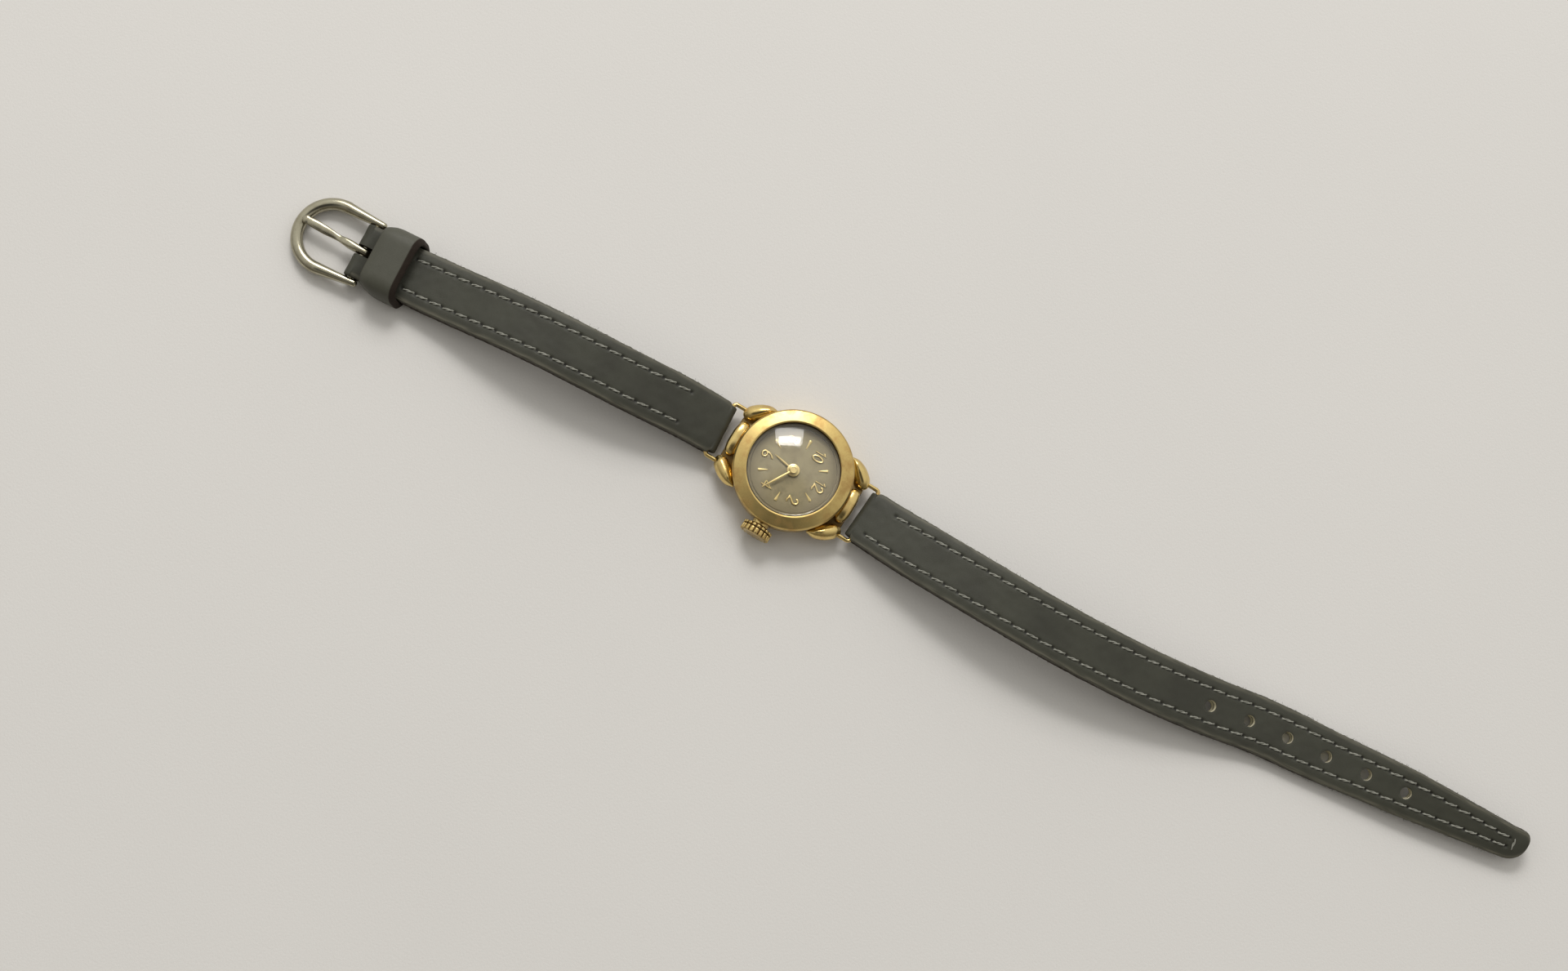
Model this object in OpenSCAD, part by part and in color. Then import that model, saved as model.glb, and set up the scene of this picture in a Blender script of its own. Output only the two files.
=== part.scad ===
// Small round-cased wristwatch with a hand-wound movement and a two-piece leather strap.
// It lies open on a flat surface: millimetres, Z up through the dial, Y towards twelve o'clock.
// The origin is the centre of the case back's flat resting face.

/* [Case] */
// Diameter of the movement that the case is built round
movement_d = 13.2; // [13.1:0.1:13.8]
// Wall of the case ring outside the movement
case_wall = 1.65; // [1.5:0.05:2]
// Height of the case ring
case_h = 3.4; // [3.35:0.05:3.8]
// Thickness of the case back
back_t = 0.5; // [0.4:0.05:0.7]
// Diameter of the flat resting face on the back
back_flat_d = 12.4; // [11:0.1:13]
// How far the bezel stands out past the case ring
bezel_lip = 0.2; // [0.1:0.05:0.4]
// Height of the bezel
bezel_h = 1.35; // [1.2:0.05:1.6]
// Distance from the centre to each lug end face
lug_reach = 10; // [9.8:0.1:10.6]
// Radius of the claw's round back beside the case
claw_r = 1.25; // [1.1:0.05:1.35]
// Radius of the claw's tip
claw_tip_r = 0.8; // [0.7:0.05:0.85]
// Width of the pillow between two claws
pillow_w = 4.2; // [3.6:0.1:4.6]

/* [Crystal and dial] */
// Diameter of the crystal where it shows in the bezel
crystal_d = 13; // [12.4:0.1:13.2]
// Wall of the crystal
crystal_wall = 0.5; // [0.4:0.05:0.7]
// Height of the crystal's dome above its straight edge
dome_h = 1.5; // [1.2:0.1:2.2]
// Thickness of the dial plate
dial_t = 0.3; // [0.2:0.05:0.35]
// Radius of the ring of numerals and markers
numeral_ring_r = 4.15; // [3.8:0.05:4.6]
// Height of a numeral
numeral_h = 1.4; // [1.1:0.05:1.6]
// Width of a numeral's stroke
numeral_stroke = 0.2; // [0.15:0.01:0.26]
// Thickness of the applied numerals and markers
applied_t = 0.12; // [0.08:0.01:0.16]
// Length of a wedge marker
marker_l = 1.2; // [0.9:0.05:1.4]
// Width of a wedge marker at its outer end
marker_w = 0.34; // [0.24:0.02:0.4]

/* [Hands] */
// Length of the hour hand from the centre
hour_hand_l = 3.3; // [2.8:0.1:3.5]
// Length of the minute hand from the centre
minute_hand_l = 4.8; // [4.2:0.1:5.2]
// Width of both hands
hand_w = 0.24; // [0.18:0.02:0.32]
// Thickness of a hand
hand_t = 0.12; // [0.08:0.01:0.14]
// Direction of the hour hand, clockwise from twelve
hour_angle = 190; // [0:1:359]
// Direction of the minute hand, clockwise from twelve
minute_angle = 120; // [0:1:359]

/* [Crown] */
// Diameter of the crown
crown_d = 4.4; // [4:0.1:4.4]
// Length of the crown along the stem
crown_l = 1.4; // [1.2:0.1:1.8]
// Number of flutes round the crown
crown_flutes = 18; // [14:1:24]
// Radius of a flute
flute_r = 0.2; // [0.14:0.02:0.26]
// Gap between the case boss and the crown when it is pushed in
crown_gap = 0.15; // [0.1:0.05:0.3]
// How far the crown pulls out to set the hands
crown_pull = 0.8; // [0.5:0.1:0.8]
// Diameter of the winding stem
stem_d = 0.6; // [0.5:0.05:0.7]
// Height of the stem's axis over the resting face
stem_z = 2.3; // [2.25:0.05:2.35]

/* [Movement] */
// Module of the teeth between barrel and centre pinion
barrel_module = 0.0727; // [0.071:0.0005:0.074]
// Module of the teeth between centre wheel and third pinion
centre_module = 0.062; // [0.06:0.0005:0.0625]
// Module of the teeth between third wheel and fourth pinion
third_module = 0.0485; // [0.048:0.0005:0.05]
// Module of the teeth between fourth wheel and escape pinion
fourth_module = 0.0441; // [0.043:0.0005:0.045]
// Module of the teeth of the crown wheel and ratchet wheel
winding_module = 0.14; // [0.138:0.001:0.142]
// Module of the teeth between cannon pinion and minute wheel
motion_module = 0.07; // [0.069:0.001:0.072]
// Radius of the escape wheel
escape_r = 0.9; // [0.8:0.05:0.95]
// Radius of the balance wheel
balance_r = 2.15; // [2:0.05:2.2]
// Turns of the hairspring
hairspring_turns = 7; // [5:1:8]
// Turns of the mainspring
mainspring_turns = 7; // [5:1:8]
// Radius of a jewel
jewel_r = 0.28; // [0.24:0.02:0.32]

/* [Strap wires] */
// Diameter of the fixed strap wires
wire_d = 0.6; // [0.5:0.05:0.7]
// Distance between the two legs of a wire
wire_pitch = 8.3; // [8.2:0.1:8.5]
// Distance from the centre to the strap bar of each wire
bar_y = 11.8; // [11.7:0.1:12.4]
// Height of the strap wires over the resting face
bar_z = 2.2; // [2:0.05:2.3]
// Radius of the bend between bar and leg
wire_bend_r = 0.5; // [0.4:0.05:0.6]

/* [Strap] */
// Width of the strap along most of its length
strap_w = 8.2; // [7.9:0.1:8.6]
// Width of the strap where it meets the wire and the buckle
strap_end_w = 7.9; // [7.6:0.1:8]
// Width of the long strap at its holes
hole_zone_w = 7.9; // [7.4:0.1:8.4]
// Width of the long strap just before its tip rounds off
tip_w = 4.7; // [4:0.1:5.4]
// Thickness of each of the two layers of leather
layer_t = 0.95; // [0.8:0.05:1.05]
// Rounding of the strap's edges
strap_edge = 0.25; // [0.1:0.05:0.35]
// Radius of the loop of leather round a wire
loop_r = 0.95; // [0.9:0.05:1]
// Diameter of a buckle hole
hole_d = 1.65; // [1.4:0.05:1.9]
// Number of buckle holes
hole_count = 6; // [4:1:7]
// Distance between buckle holes
hole_pitch = 6; // [5.4:0.1:6.2]
// Distance from the case centre to the first buckle hole
first_hole = 66.4; // [64:0.1:68]
// Length of a stitch
stitch_l = 1.45; // [1.1:0.05:1.6]
// Distance from one stitch to the next
stitch_pitch = 2.1; // [1.9:0.05:2.6]
// Thickness of the sewing thread
thread_d = 0.3; // [0.2:0.02:0.4]
// Distance from the edge of the strap to a row of stitches
stitch_inset = 1.75; // [1.5:0.05:2]
// Distance from the case centre to the first stitch
stitch_start = 17.6; // [16.5:0.1:19]

/* [Keeper] */
// Length of the keeper along the strap
keeper_l = 5.4; // [4.6:0.1:5.8]
// Thickness of the keeper's leather
keeper_t = 0.9; // [0.7:0.05:0.95]
// Free height inside the keeper over the strap
keeper_room = 1.7; // [1.4:0.1:2]
// Lean of the keeper's mouth, top towards the buckle
keeper_lean = 16; // [8:1:18]
// Distance from the buckle bar to the keeper's upper edge
keeper_gap = 1.3; // [1.2:0.1:1.8]

/* [Buckle] */
// Distance between the centres of the buckle's two sides at the bow
bow_pitch = 9.66; // [9.4:0.02:10.4]
// Distance between the centres of the buckle's two sides at the bar
bar_pitch = 9.2; // [9.1:0.05:9.4]
// Thickness of the buckle's bow
bow_d = 1.74; // [1.5:0.02:1.9]
// Thickness of the buckle's sides at their free ends
leg_end_d = 1; // [0.9:0.02:1.1]
// Distance from the bar to the centre of the bow's curve
bow_reach = 5.1; // [4.8:0.1:6]
// How far the sides run past the bar
leg_tail = 0.75; // [0.6:0.05:0.8]
// Diameter of the buckle bar
buckle_bar_d = 1; // [0.8:0.05:1.05]
// Direction of the buckle in plan, from the case's own axis
buckle_turn = 5.5; // [0:0.5:8]
// Width of the tongue
tongue_w = 1.15; // [0.9:0.05:1.3]
// Length of the tongue from the bar to its tip
tongue_l = 9.8; // [9.5:0.1:10.2]
// Turn of the tongue in plan
tongue_turn = 4; // [0:0.5:5]
// Width of the notch that the tongue stands in
notch_w = 1.7; // [1.5:0.05:2]

/* [Hidden] */

// Colours
GOLD = [0.83, 0.66, 0.33];
BRASS = [0.78, 0.64, 0.32];
STEEL = [0.72, 0.72, 0.72];
NICKEL = [0.70, 0.68, 0.62];
PLATE = [0.80, 0.78, 0.72];
RUBY = [0.70, 0.12, 0.25];
LEATHER = [0.30, 0.31, 0.29];
LINING = [0.24, 0.22, 0.20];
THREAD = [0.62, 0.63, 0.60];
SILVER_DIAL = [0.76, 0.74, 0.69];

// Clearances: a fixed fit, a running fit and the room round parts that only pass by
fit = 0.01;
run = 0.03;
room = 0.1;
// A cut runs this far past the face that it opens
past = 0.5;
smooth_fn = 96;

// Heights of the case, from the resting face up
movement_r = movement_d / 2;
bore_r = movement_r + fit * 5;
case_r = bore_r + case_wall;
case_top = back_t + case_h;
flange_lip = 0.3;
flange_r = movement_r + flange_lip;
flange_bore_r = flange_r + fit * 5;
dial_r = flange_r - room;
dial_z0 = case_top - 0.1 - dial_t;
dial_z1 = dial_z0 + dial_t;
plate_z1 = case_top - 0.63;
plate_t = 0.67;
plate_z0 = plate_z1 - plate_t;
flange_t = 0.2;
snap_r = bore_r - fit * 5;
snap_t = 0.45;
snap_h = 0.8;
case_foot_r = case_r - 0.65;
case_chamfer = 0.35;

// The bezel and the crystal's seat in it
bezel_r = case_r + bezel_lip;
bezel_z1 = case_top + bezel_h;
crystal_r = crystal_d / 2 - fit * 4;
crystal_lip = 0.35;
lip_z = case_top + 0.6;
crystal_z0 = case_top + 0.2;
dome_z0 = case_top + 1.1;
dome_r = (pow(crystal_r, 2) + pow(dome_h, 2)) / (2 * dome_h);
crystal_in_r = crystal_r - crystal_wall;

// The train's places: each arbor lies one pair of pitch radii from the arbor before it
barrel_teeth = 72;
centre_pinion_teeth = 9;
centre_teeth = 60;
third_pinion_teeth = 8;
third_teeth = 64;
fourth_pinion_teeth = 8;
fourth_teeth = 60;
escape_pinion_teeth = 6;
escape_teeth = 15;
winding_pinion_teeth = 12;
crown_teeth = 20;
ratchet_teeth = 28;
cannon_teeth = 12;
minute_teeth = 36;
minute_pinion_teeth = 10;
hour_teeth = 40;
barrel_dir = 75;
third_dir = -65;
fourth_dir = -114;
escape_dir = -164;
pallet_dir = 180;
balance_dir = 128;
minute_dir = 150;
function polar(r, a) = [r * cos(a), r * sin(a)];
function mesh_r(m, n1, n2) = m * (n1 + n2) / 2;
centre_at = [0, 0];
barrel_at = polar(mesh_r(barrel_module, barrel_teeth, centre_pinion_teeth), barrel_dir);
third_at = polar(mesh_r(centre_module, centre_teeth, third_pinion_teeth), third_dir);
fourth_at = third_at + polar(mesh_r(third_module, third_teeth, fourth_pinion_teeth), fourth_dir);
escape_at = fourth_at + polar(mesh_r(fourth_module, fourth_teeth, escape_pinion_teeth), escape_dir);
pallet_reach = escape_r + 0.2;
pallet_at = escape_at + polar(pallet_reach, pallet_dir);
fork_l = 1.4;
roller_r = 0.3;
balance_at = pallet_at + polar(fork_l + roller_r + 0.08, balance_dir);
minute_at = polar(mesh_r(motion_module, cannon_teeth, minute_teeth), minute_dir);
hour_module = 2 * norm(minute_at) / (minute_pinion_teeth + hour_teeth);
winding_reach = mesh_r(winding_module, crown_teeth, ratchet_teeth);
crown_wheel_at = [barrel_at.x + sqrt(pow(winding_reach, 2) - pow(barrel_at.y, 2)), 0];
winding_dir = atan2(crown_wheel_at.y - barrel_at.y, crown_wheel_at.x - barrel_at.x);

// The movement's levels, counted down from the plate's underside
wheel_t = 0.15;
arbor_r = 0.1;
pivot_r = 0.07;
bridge_t = 0.3;
bridge_r = movement_r - 0.6;
foot_w = 0.4;
bridge_z0 = plate_z0 - 1.85;
bridge_z1 = bridge_z0 + bridge_t;
train_bridge_z0 = plate_z0 - 1.75;
train_bridge_t = 0.35;
train_bridge_z1 = train_bridge_z0 + train_bridge_t;
cock_t = 0.3;
ratchet_z0 = bridge_z1 + 0.05;
ratchet_t = 0.18;
barrel_z0 = plate_z0 - 1.05;
barrel_z1 = plate_z0 - 0.4;
barrel_wall = 0.15;
barrel_gear_t = 0.25;
centre_z0 = plate_z0 - 0.25;
third_z0 = plate_z0 - 1.06;
fourth_z0 = plate_z0 - 0.65;
escape_z0 = plate_z0 - 0.25;
balance_z0 = plate_z0 - 1.1;
balance_t = 0.2;
hairspring_z0 = plate_z0 - 1.32;
pallet_bridge_z0 = plate_z0 - 0.78;
pallet_bridge_t = 0.25;
recess_z = plate_z1 - 0.22;
motion_z0 = recess_z + 0.05;
hour_wheel_z0 = plate_z1 + 0.05;
hour_wheel_t = 0.12;

// The stem's line, from the clutch out to the crown
boss_r = 1.2;
boss_x1 = case_r + 0.55;
tube_r = 0.75;
tube_bore_r = stem_d / 2 + room;
tube_x0 = bore_r + 0.3;
crown_x0 = boss_x1 + crown_gap;
crown_x1 = crown_x0 + crown_l;
crown_socket = 0.7;
tube_x1 = crown_x0 + crown_socket - room;
stem_r = stem_d / 2;
winding_pinion_l = 0.5;
winding_pinion_r = 0.86;
addendum = 0.9;
dedendum = 1.1;
winding_pitch_r = winding_pinion_r / (1 + 2 * addendum / winding_pinion_teeth);
crown_face_r = winding_pitch_r * crown_teeth / winding_pinion_teeth;
winding_pinion_x = crown_wheel_at.x + crown_face_r - winding_pinion_l / 2;
sliding_pinion_l = 0.8;
sliding_pinion_x = winding_pinion_x - room - sliding_pinion_l;
sliding_pinion_r = 0.6;
stem_x0 = sliding_pinion_x - room;
stem_block_x = movement_r - 0.85;
lever_x = winding_pinion_x + winding_pinion_l + 0.3;
lever_t = 0.2;
lever_w = 1.6;
lever_groove = 0.35;

// The hands' stack above the dial
cannon_r = 0.36;
centre_arbor_r = 0.15;
hour_pipe_r = cannon_r + run + 0.2;
hour_hub_r = 0.9;
minute_hub_r = 0.6;
hour_hand_z = dial_z1 + 0.18;
minute_hand_z = hour_hand_z + hand_t + 0.2;
cannon_top = minute_hand_z + hand_t + 0.1;

// Strap paths. Each row is the distance from the case centre, then across, height and roll.
end_s = bar_y + 0.55;
lining_s = bar_y + loop_r + room / 2;
long_path = [
    [bar_y, 0, bar_z, 0], [19, 0.4, 3.8, 0], [32, 0.62, 5.9, 0], [41, 0.46, 6.2, 0],
    [49, -0.05, 5.6, 0], [57.6, -1.05, 4.2, 0], [66.6, -2.6, 2.5, 1], [75, -4.3, 1.3, 2],
    [84.2, -5.3, 1.3, 4], [92.1, -6.25, 1.8, 8], [100.6, -7.2, 2.2, 12],
    [109.3, -8.15, 2.15, 15], [115, -8.8, 1.95, 16]];
buckle_s = 66.7;
rest_gap = 0.02;
buckle_z = keeper_t + layer_t + room / 2 + rest_gap;
buckle_slope = asin((buckle_z - bow_d / 2 - rest_gap) / (bow_reach + bow_pitch / 2));
buckle_x = 5.05;
lead = 9;
short_path = [
    [bar_y, 0, bar_z, 0], [18, 0.5, 3.6, 0], [25, 1.35, 5, 0], [32, 2.02, 5.8, 0], [39, 2.6, 5.8, 0],
    [46, 3.15, 4.5, 0], [52.5, 3.7, 2.8, 0],
    [buckle_s - lead, buckle_x - lead * tan(buckle_turn), buckle_z + 0.1, 0],
    [buckle_s - lead / 2, buckle_x - lead / 2 * tan(buckle_turn), buckle_z + 0.01, 0],
    [buckle_s, buckle_x, buckle_z, 0]];
tip_s = 114.9;
tip_round = 2.3;
taper_s = 80;
shoulder_s = 97;
long_width = [
    [end_s, strap_end_w], [20, strap_w], [62, strap_w], [taper_s, hole_zone_w],
    [shoulder_s, hole_zone_w - 1], [tip_s - tip_round, tip_w],
    for (a = [15:15:75]) [tip_s - tip_round + tip_round * sin(a), tip_w * (0.25 + 0.75 * cos(a))],
    [tip_s, tip_w * 0.3]];
buckle_loop_r = 1.12;
short_end = buckle_s - 0.3;
short_width = [[end_s, strap_end_w], [20, strap_w], [56, strap_w], [63, strap_end_w], [buckle_s, strap_end_w]];
wire_loop_w = wire_pitch - 2 * wire_bend_r - 2 * room;
station_step = 3;
long_stations = [end_s, lining_s, for (s = [end_s + station_step:station_step:tip_s - tip_round - 0.5]) s,
    for (a = [0:15:90]) tip_s - tip_round + tip_round * sin(a)];
lining_end = buckle_s - buckle_loop_r - room / 2;
short_stations = [end_s, lining_s, for (s = [end_s + station_step:station_step:lining_end - 0.5]) s, lining_end, short_end];
long_lining_stations = [for (s = long_stations) if (s >= lining_s) s];
short_lining_stations = [for (s = short_stations) if (s >= lining_s && s <= lining_end) s];

// Places on a path: a smooth curve through the rows' values
function row_of(path, s, i = 0) = (i >= len(path) - 2 || s < path[i + 1][0]) ? i : row_of(path, s, i + 1);
function rise(path, i, k) =
    let (a = max(i - 1, 0), b = min(i + 1, len(path) - 1))
    (path[b][k] - path[a][k]) / (path[b][0] - path[a][0]);
function curve(path, s, k) =
    let (i = row_of(path, s), h = path[i + 1][0] - path[i][0], t = (s - path[i][0]) / h)
    (2 * pow(t, 3) - 3 * pow(t, 2) + 1) * path[i][k] + (pow(t, 3) - 2 * pow(t, 2) + t) * h * rise(path, i, k)
    + (3 * pow(t, 2) - 2 * pow(t, 3)) * path[i + 1][k] + (pow(t, 3) - pow(t, 2)) * h * rise(path, i + 1, k);
function place(path, side, s) = [curve(path, s, 1), side * s, curve(path, s, 2)];
function unit(v) = v / norm(v);
function along(path, side, s) =
    let (e = 0.05) unit(side * (place(path, side, s + e) - place(path, side, s - e)));
function across(path, side, s) =
    let (t = along(path, side, s), w = unit(cross(t, [0, 0, 1])), n = cross(w, t), a = curve(path, s, 3))
    w * cos(a) - n * sin(a);
function above(path, side, s) = cross(across(path, side, s), along(path, side, s));
function spot(path, side, s, u, v) =
    place(path, side, s) + across(path, side, s) * u + above(path, side, s) * v;

// A closed skin over rings of points that all run the same way round. Two skins that share a
// face are split along the same diagonals when one of them is flipped.
module skin(rings, flip = false) {
    n = len(rings);
    m = len(rings[0]);
    points = [for (ring = rings) each ring];
    sides = [for (i = [0:n - 2], j = [0:m - 1]) let (k = (j + 1) % m, a = i * m, b = a + m)
        each flip ? [[a + j, a + k, b + j], [a + k, b + k, b + j]] : [[a + j, a + k, b + k], [a + j, b + k, b + j]]];
    first = [for (j = [m - 1:-1:0]) j];
    last = [for (j = [0:m - 1]) (n - 1) * m + j];
    polyhedron(points, [first, last, each sides]);
}

// One layer of leather along a path, from the middle of the strap out to v
function layer_ring(path, side, s, w, v) =
    let (e = strap_edge, d = sign(v), pts = [[-w / 2, 0], [w / 2, 0], [w / 2, v - d * e],
        [w / 2 - e, v], [e - w / 2, v], [-w / 2, v - d * e]])
    [for (j = [0:5]) let (p = pts[d > 0 ? j : 5 - j]) spot(path, side, s, p[0], p[1])];
module layer(path, side, stations, widths, v) {
    order = side > 0 ? stations : [for (i = [len(stations) - 1:-1:0]) stations[i]];
    skin([for (s = order) layer_ring(path, side, s, lookup(s, widths), v)], v < 0);
}
module on_path(path, side, s) {
    w = across(path, side, s);
    t = along(path, side, s);
    n = above(path, side, s);
    p = place(path, side, s);
    multmatrix([[w.x, t.x, n.x, p.x], [w.y, t.y, n.y, p.y], [w.z, t.z, n.z, p.z], [0, 0, 0, 1]]) children();
}

// Round pieces and gears
module rod_x(x0, x1, r, n = smooth_fn) translate([x0, 0, 0]) rotate([0, 90, 0]) cylinder(h = x1 - x0, r = r, $fn = n);
module disc(at, z0, t, r, n = smooth_fn) translate([at.x, at.y, z0]) cylinder(h = t, r = r, $fn = n);
function gear_points(m, n) = [for (i = [0:n - 1], k = [0:3])
    let (a = (i + [-0.3, -0.14, 0.14, 0.3][k]) * 360 / n, r = m * n / 2 + (k == 0 || k == 3 ? -dedendum : addendum) * m)
    polar(r, a)];
module gear(at, z0, t, m, n, turn = 0)
    translate([at.x, at.y, z0]) rotate(turn) linear_extrude(t) polygon(gear_points(m, n));
function gap_turn(dir, n) = dir + 180 + 180 / n;
module spoked_wheel(at, z0, t, m, n, turn, rim) {
    r = m * n / 2 - rim;
    difference() {
        gear(at, z0, t, m, n, turn);
        difference() {
            disc(at, z0 - past, t + 2 * past, r, 48);
            disc(at, z0 - past, t + 2 * past, arbor_r * 3, 24);
            for (a = [0:90:270]) translate([at.x, at.y, z0 - past]) rotate(a)
                translate([0, -arbor_r, 0]) cube([r + rim / 2, 2 * arbor_r, t + 2 * past]);
        }
    }
}
module spiral(at, z0, h, t, r0, r1, turns, steps = 20) {
    skin([for (i = [0:turns * steps]) let (f = i / (turns * steps), r = r0 + (r1 - r0) * f, a = 360 * i / steps)
        [for (p = [[r, 0], [r + t, 0], [r + t, h], [r, h]])
            [at.x + p[0] * cos(a), at.y + p[0] * sin(a), z0 + p[1]]]]);
}

// Case
module claw(sx, sy) {
    hull() {
        translate([sx * (case_r - 3.15), sy * (case_r - 1.9), stem_z]) sphere(r = claw_r, $fn = 24);
        translate([sx * (wire_pitch / 2 - wire_d), sy * (lug_reach - 0.5), bar_z]) sphere(r = claw_tip_r, $fn = 24);
    }
}
module pillow(sy) {
    hull() for (sx = [-1, 1]) {
        translate([sx * (pillow_w / 2 - 0.7), sy * (case_r + 0.1), stem_z - 0.1]) sphere(r = 0.95, $fn = 20);
        translate([sx * (pillow_w / 2 - 0.55), sy * (lug_reach - 0.3), bar_z]) sphere(r = 0.75, $fn = 20);
    }
}
module lug_floor(sy) {
    translate([0, 0, back_t + 0.8]) linear_extrude(bar_z - back_t - 0.9)
        polygon([[-case_r + 2.4, sy * (case_r - 2.4)], [case_r - 2.4, sy * (case_r - 2.4)],
            [wire_pitch / 2 + 0.2, sy * lug_reach], [-wire_pitch / 2 - 0.2, sy * lug_reach]]);
}
module case_body() color(GOLD) {
    difference() {
        union() {
            rotate_extrude($fn = smooth_fn) polygon([
                [bore_r - 0.2, back_t], [case_foot_r, back_t], [case_r, back_t + 0.7], [case_r, case_top - case_chamfer / 3],
                [case_r - case_chamfer / 3, case_top], [bore_r - 0.2, case_top]]);
            intersection() {
                union() for (sy = [-1, 1]) {
                    lug_floor(sy);
                    pillow(sy);
                    for (sx = [-1, 1]) claw(sx, sy);
                }
                translate([-case_r, -lug_reach, back_t]) cube([2 * case_r, 2 * lug_reach, case_h]);
            }
            translate([0, 0, stem_z]) rod_x(case_r - 0.6, boss_x1, boss_r);
        }
        translate([0, 0, -past]) cylinder(h = case_top + 2 * past, r = bore_r, $fn = smooth_fn);
        translate([0, 0, plate_z1 - flange_t]) cylinder(h = case_h, r = flange_bore_r, $fn = smooth_fn);
        translate([0, 0, stem_z]) rod_x(bore_r - past, boss_x1 + past, tube_r + fit);
        for (sx = [-1, 1], sy = [-1, 1]) translate([sx * wire_pitch / 2, sy * (lug_reach + past), bar_z])
            rotate([sy * 90, 0, 0]) cylinder(h = 1 + past + fit, r = wire_d / 2 + fit, $fn = 24);
    }
}
module case_back() color(GOLD) difference() {
    rotate_extrude($fn = smooth_fn) polygon([
        [0, 0], [back_flat_d / 2, 0], [case_foot_r - 0.15, back_t * 0.7], [case_foot_r - 0.15, back_t],
        [snap_r, back_t], [snap_r, back_t + snap_h], [snap_r - snap_t, back_t + snap_h],
        [snap_r - snap_t, back_t], [0, back_t]]);
    translate([0, -case_foot_r, back_t * 0.75]) rotate([90, 0, 0]) cylinder(h = 0.5, r = 0.4, center = true, $fn = 24);
}
module bezel() color(GOLD) rotate_extrude($fn = smooth_fn) polygon([
    [crystal_r + crystal_lip + fit * 4, case_top], [bezel_r, case_top], [bezel_r, bezel_z1 - 0.5],
    [bezel_r - 0.12, bezel_z1 - 0.38], [bezel_r - 0.35, bezel_z1 - 0.3], [crystal_d / 2 + 0.2, bezel_z1],
    [crystal_d / 2 + 0.06, bezel_z1 - 0.03], [crystal_d / 2, bezel_z1 - 0.12], [crystal_d / 2, lip_z],
    [crystal_r + crystal_lip + fit * 4, lip_z]]);
module crystal() color([0.85, 0.9, 0.92, 0.35]) difference() {
    union() {
        intersection() {
            translate([0, 0, crystal_z0]) cylinder(h = dome_h + bezel_h, r = crystal_r, $fn = smooth_fn);
            translate([0, 0, dome_z0 + dome_h - dome_r]) sphere(r = dome_r, $fn = smooth_fn);
        }
        translate([0, 0, crystal_z0]) cylinder(h = lip_z - crystal_z0, r = crystal_r + crystal_lip, $fn = smooth_fn);
    }
    intersection() {
        translate([0, 0, crystal_z0 - past]) cylinder(h = dome_h + bezel_h, r = crystal_in_r, $fn = smooth_fn);
        translate([0, 0, dome_z0 + dome_h - dome_r]) sphere(r = dome_r - crystal_wall, $fn = smooth_fn);
    }
}
module crown_tube() color(BRASS) translate([0, 0, stem_z]) difference() {
    rod_x(tube_x0, tube_x1, tube_r);
    rod_x(tube_x0 - past, tube_x1 + past, tube_bore_r);
}
module wire_loop(sy) color(GOLD) {
    leg_y0 = lug_reach - 1;
    corner_y = bar_y - wire_bend_r;
    straight = wire_pitch / 2 - wire_bend_r;
    for (sx = [-1, 1]) {
        translate([sx * wire_pitch / 2, sy * corner_y, bar_z]) rotate([sy * 90, 0, 0])
            cylinder(h = corner_y - leg_y0, r = wire_d / 2, $fn = 24);
        translate([sx * straight, sy * corner_y, bar_z]) mirror([sx < 0 ? 1 : 0, 0, 0]) mirror([0, sy < 0 ? 1 : 0, 0])
            rotate_extrude(angle = 90, $fn = 48) translate([wire_bend_r, 0]) circle(r = wire_d / 2, $fn = 24);
    }
    translate([0, sy * bar_y, bar_z]) rod_x(-straight, straight, wire_d / 2, 24);
}
module wire_loop_12() wire_loop(1);
module wire_loop_6() wire_loop(-1);

// Dial and hands
dial_foot_at = [polar(dial_r - 0.9, 20), polar(dial_r - 0.9, 205)];
dial_foot_r = 0.2;
dial_foot_l = 0.5;
module dial() color(SILVER_DIAL) {
    difference() {
        rotate_extrude($fn = smooth_fn) polygon([
            [0, dial_z0], [dial_r, dial_z0], [dial_r, dial_z1 - 0.12], [dial_r - 0.7, dial_z1], [0, dial_z1]]);
        disc(centre_at, dial_z0 - past, dial_t + 2 * past, hour_pipe_r + 0.06, 48);
    }
    for (at = dial_foot_at) disc(at, dial_z0 - dial_foot_l, dial_foot_l + dial_t / 2, dial_foot_r, 24);
}
module bar2(a, b, s = numeral_stroke) {
    d = b - a;
    translate(a) rotate(atan2(d.y, d.x)) translate([0, -s / 2]) square([norm(d), s]);
}
module arc2(r, from, to, s = numeral_stroke) {
    step = (to - from) / 12;
    polygon([for (a = [from:step:to + step / 9]) polar(r + s / 2, a), for (a = [to:-step:from - step / 9]) polar(r - s / 2, a)]);
}
// Numerals are drawn about their own middles, from bars and arcs
dh = numeral_h;
ds = numeral_stroke;
module digit_one() {
    bar2([0, -dh / 2], [0, dh / 2]);
    bar2([-0.17 * dh, dh * 0.3], [0.03 * dh, dh * 0.46], ds * 0.8);
}
module digit_two() {
    r = 0.21 * dh;
    translate([0, dh / 2 - r - ds / 2]) arc2(r, -30, 190);
    bar2([-0.24 * dh, ds / 2 - dh / 2], polar(r, -30) + [0, dh / 2 - r - ds / 2]);
    bar2([-0.3 * dh, ds / 2 - dh / 2], [0.32 * dh, ds / 2 - dh / 2]);
}
module digit_four() {
    bar2([0.12 * dh, -dh / 2], [0.12 * dh, dh / 2]);
    bar2([-0.3 * dh, -0.18 * dh], [0.34 * dh, -0.18 * dh]);
    bar2([-0.28 * dh, -0.18 * dh], [0.12 * dh, dh / 2 - ds / 3], ds * 0.8);
}
module ring2(at, r) translate(at) difference() {
    circle(r = r + ds / 2, $fn = 32);
    circle(r = r - ds / 2, $fn = 32);
}
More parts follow.
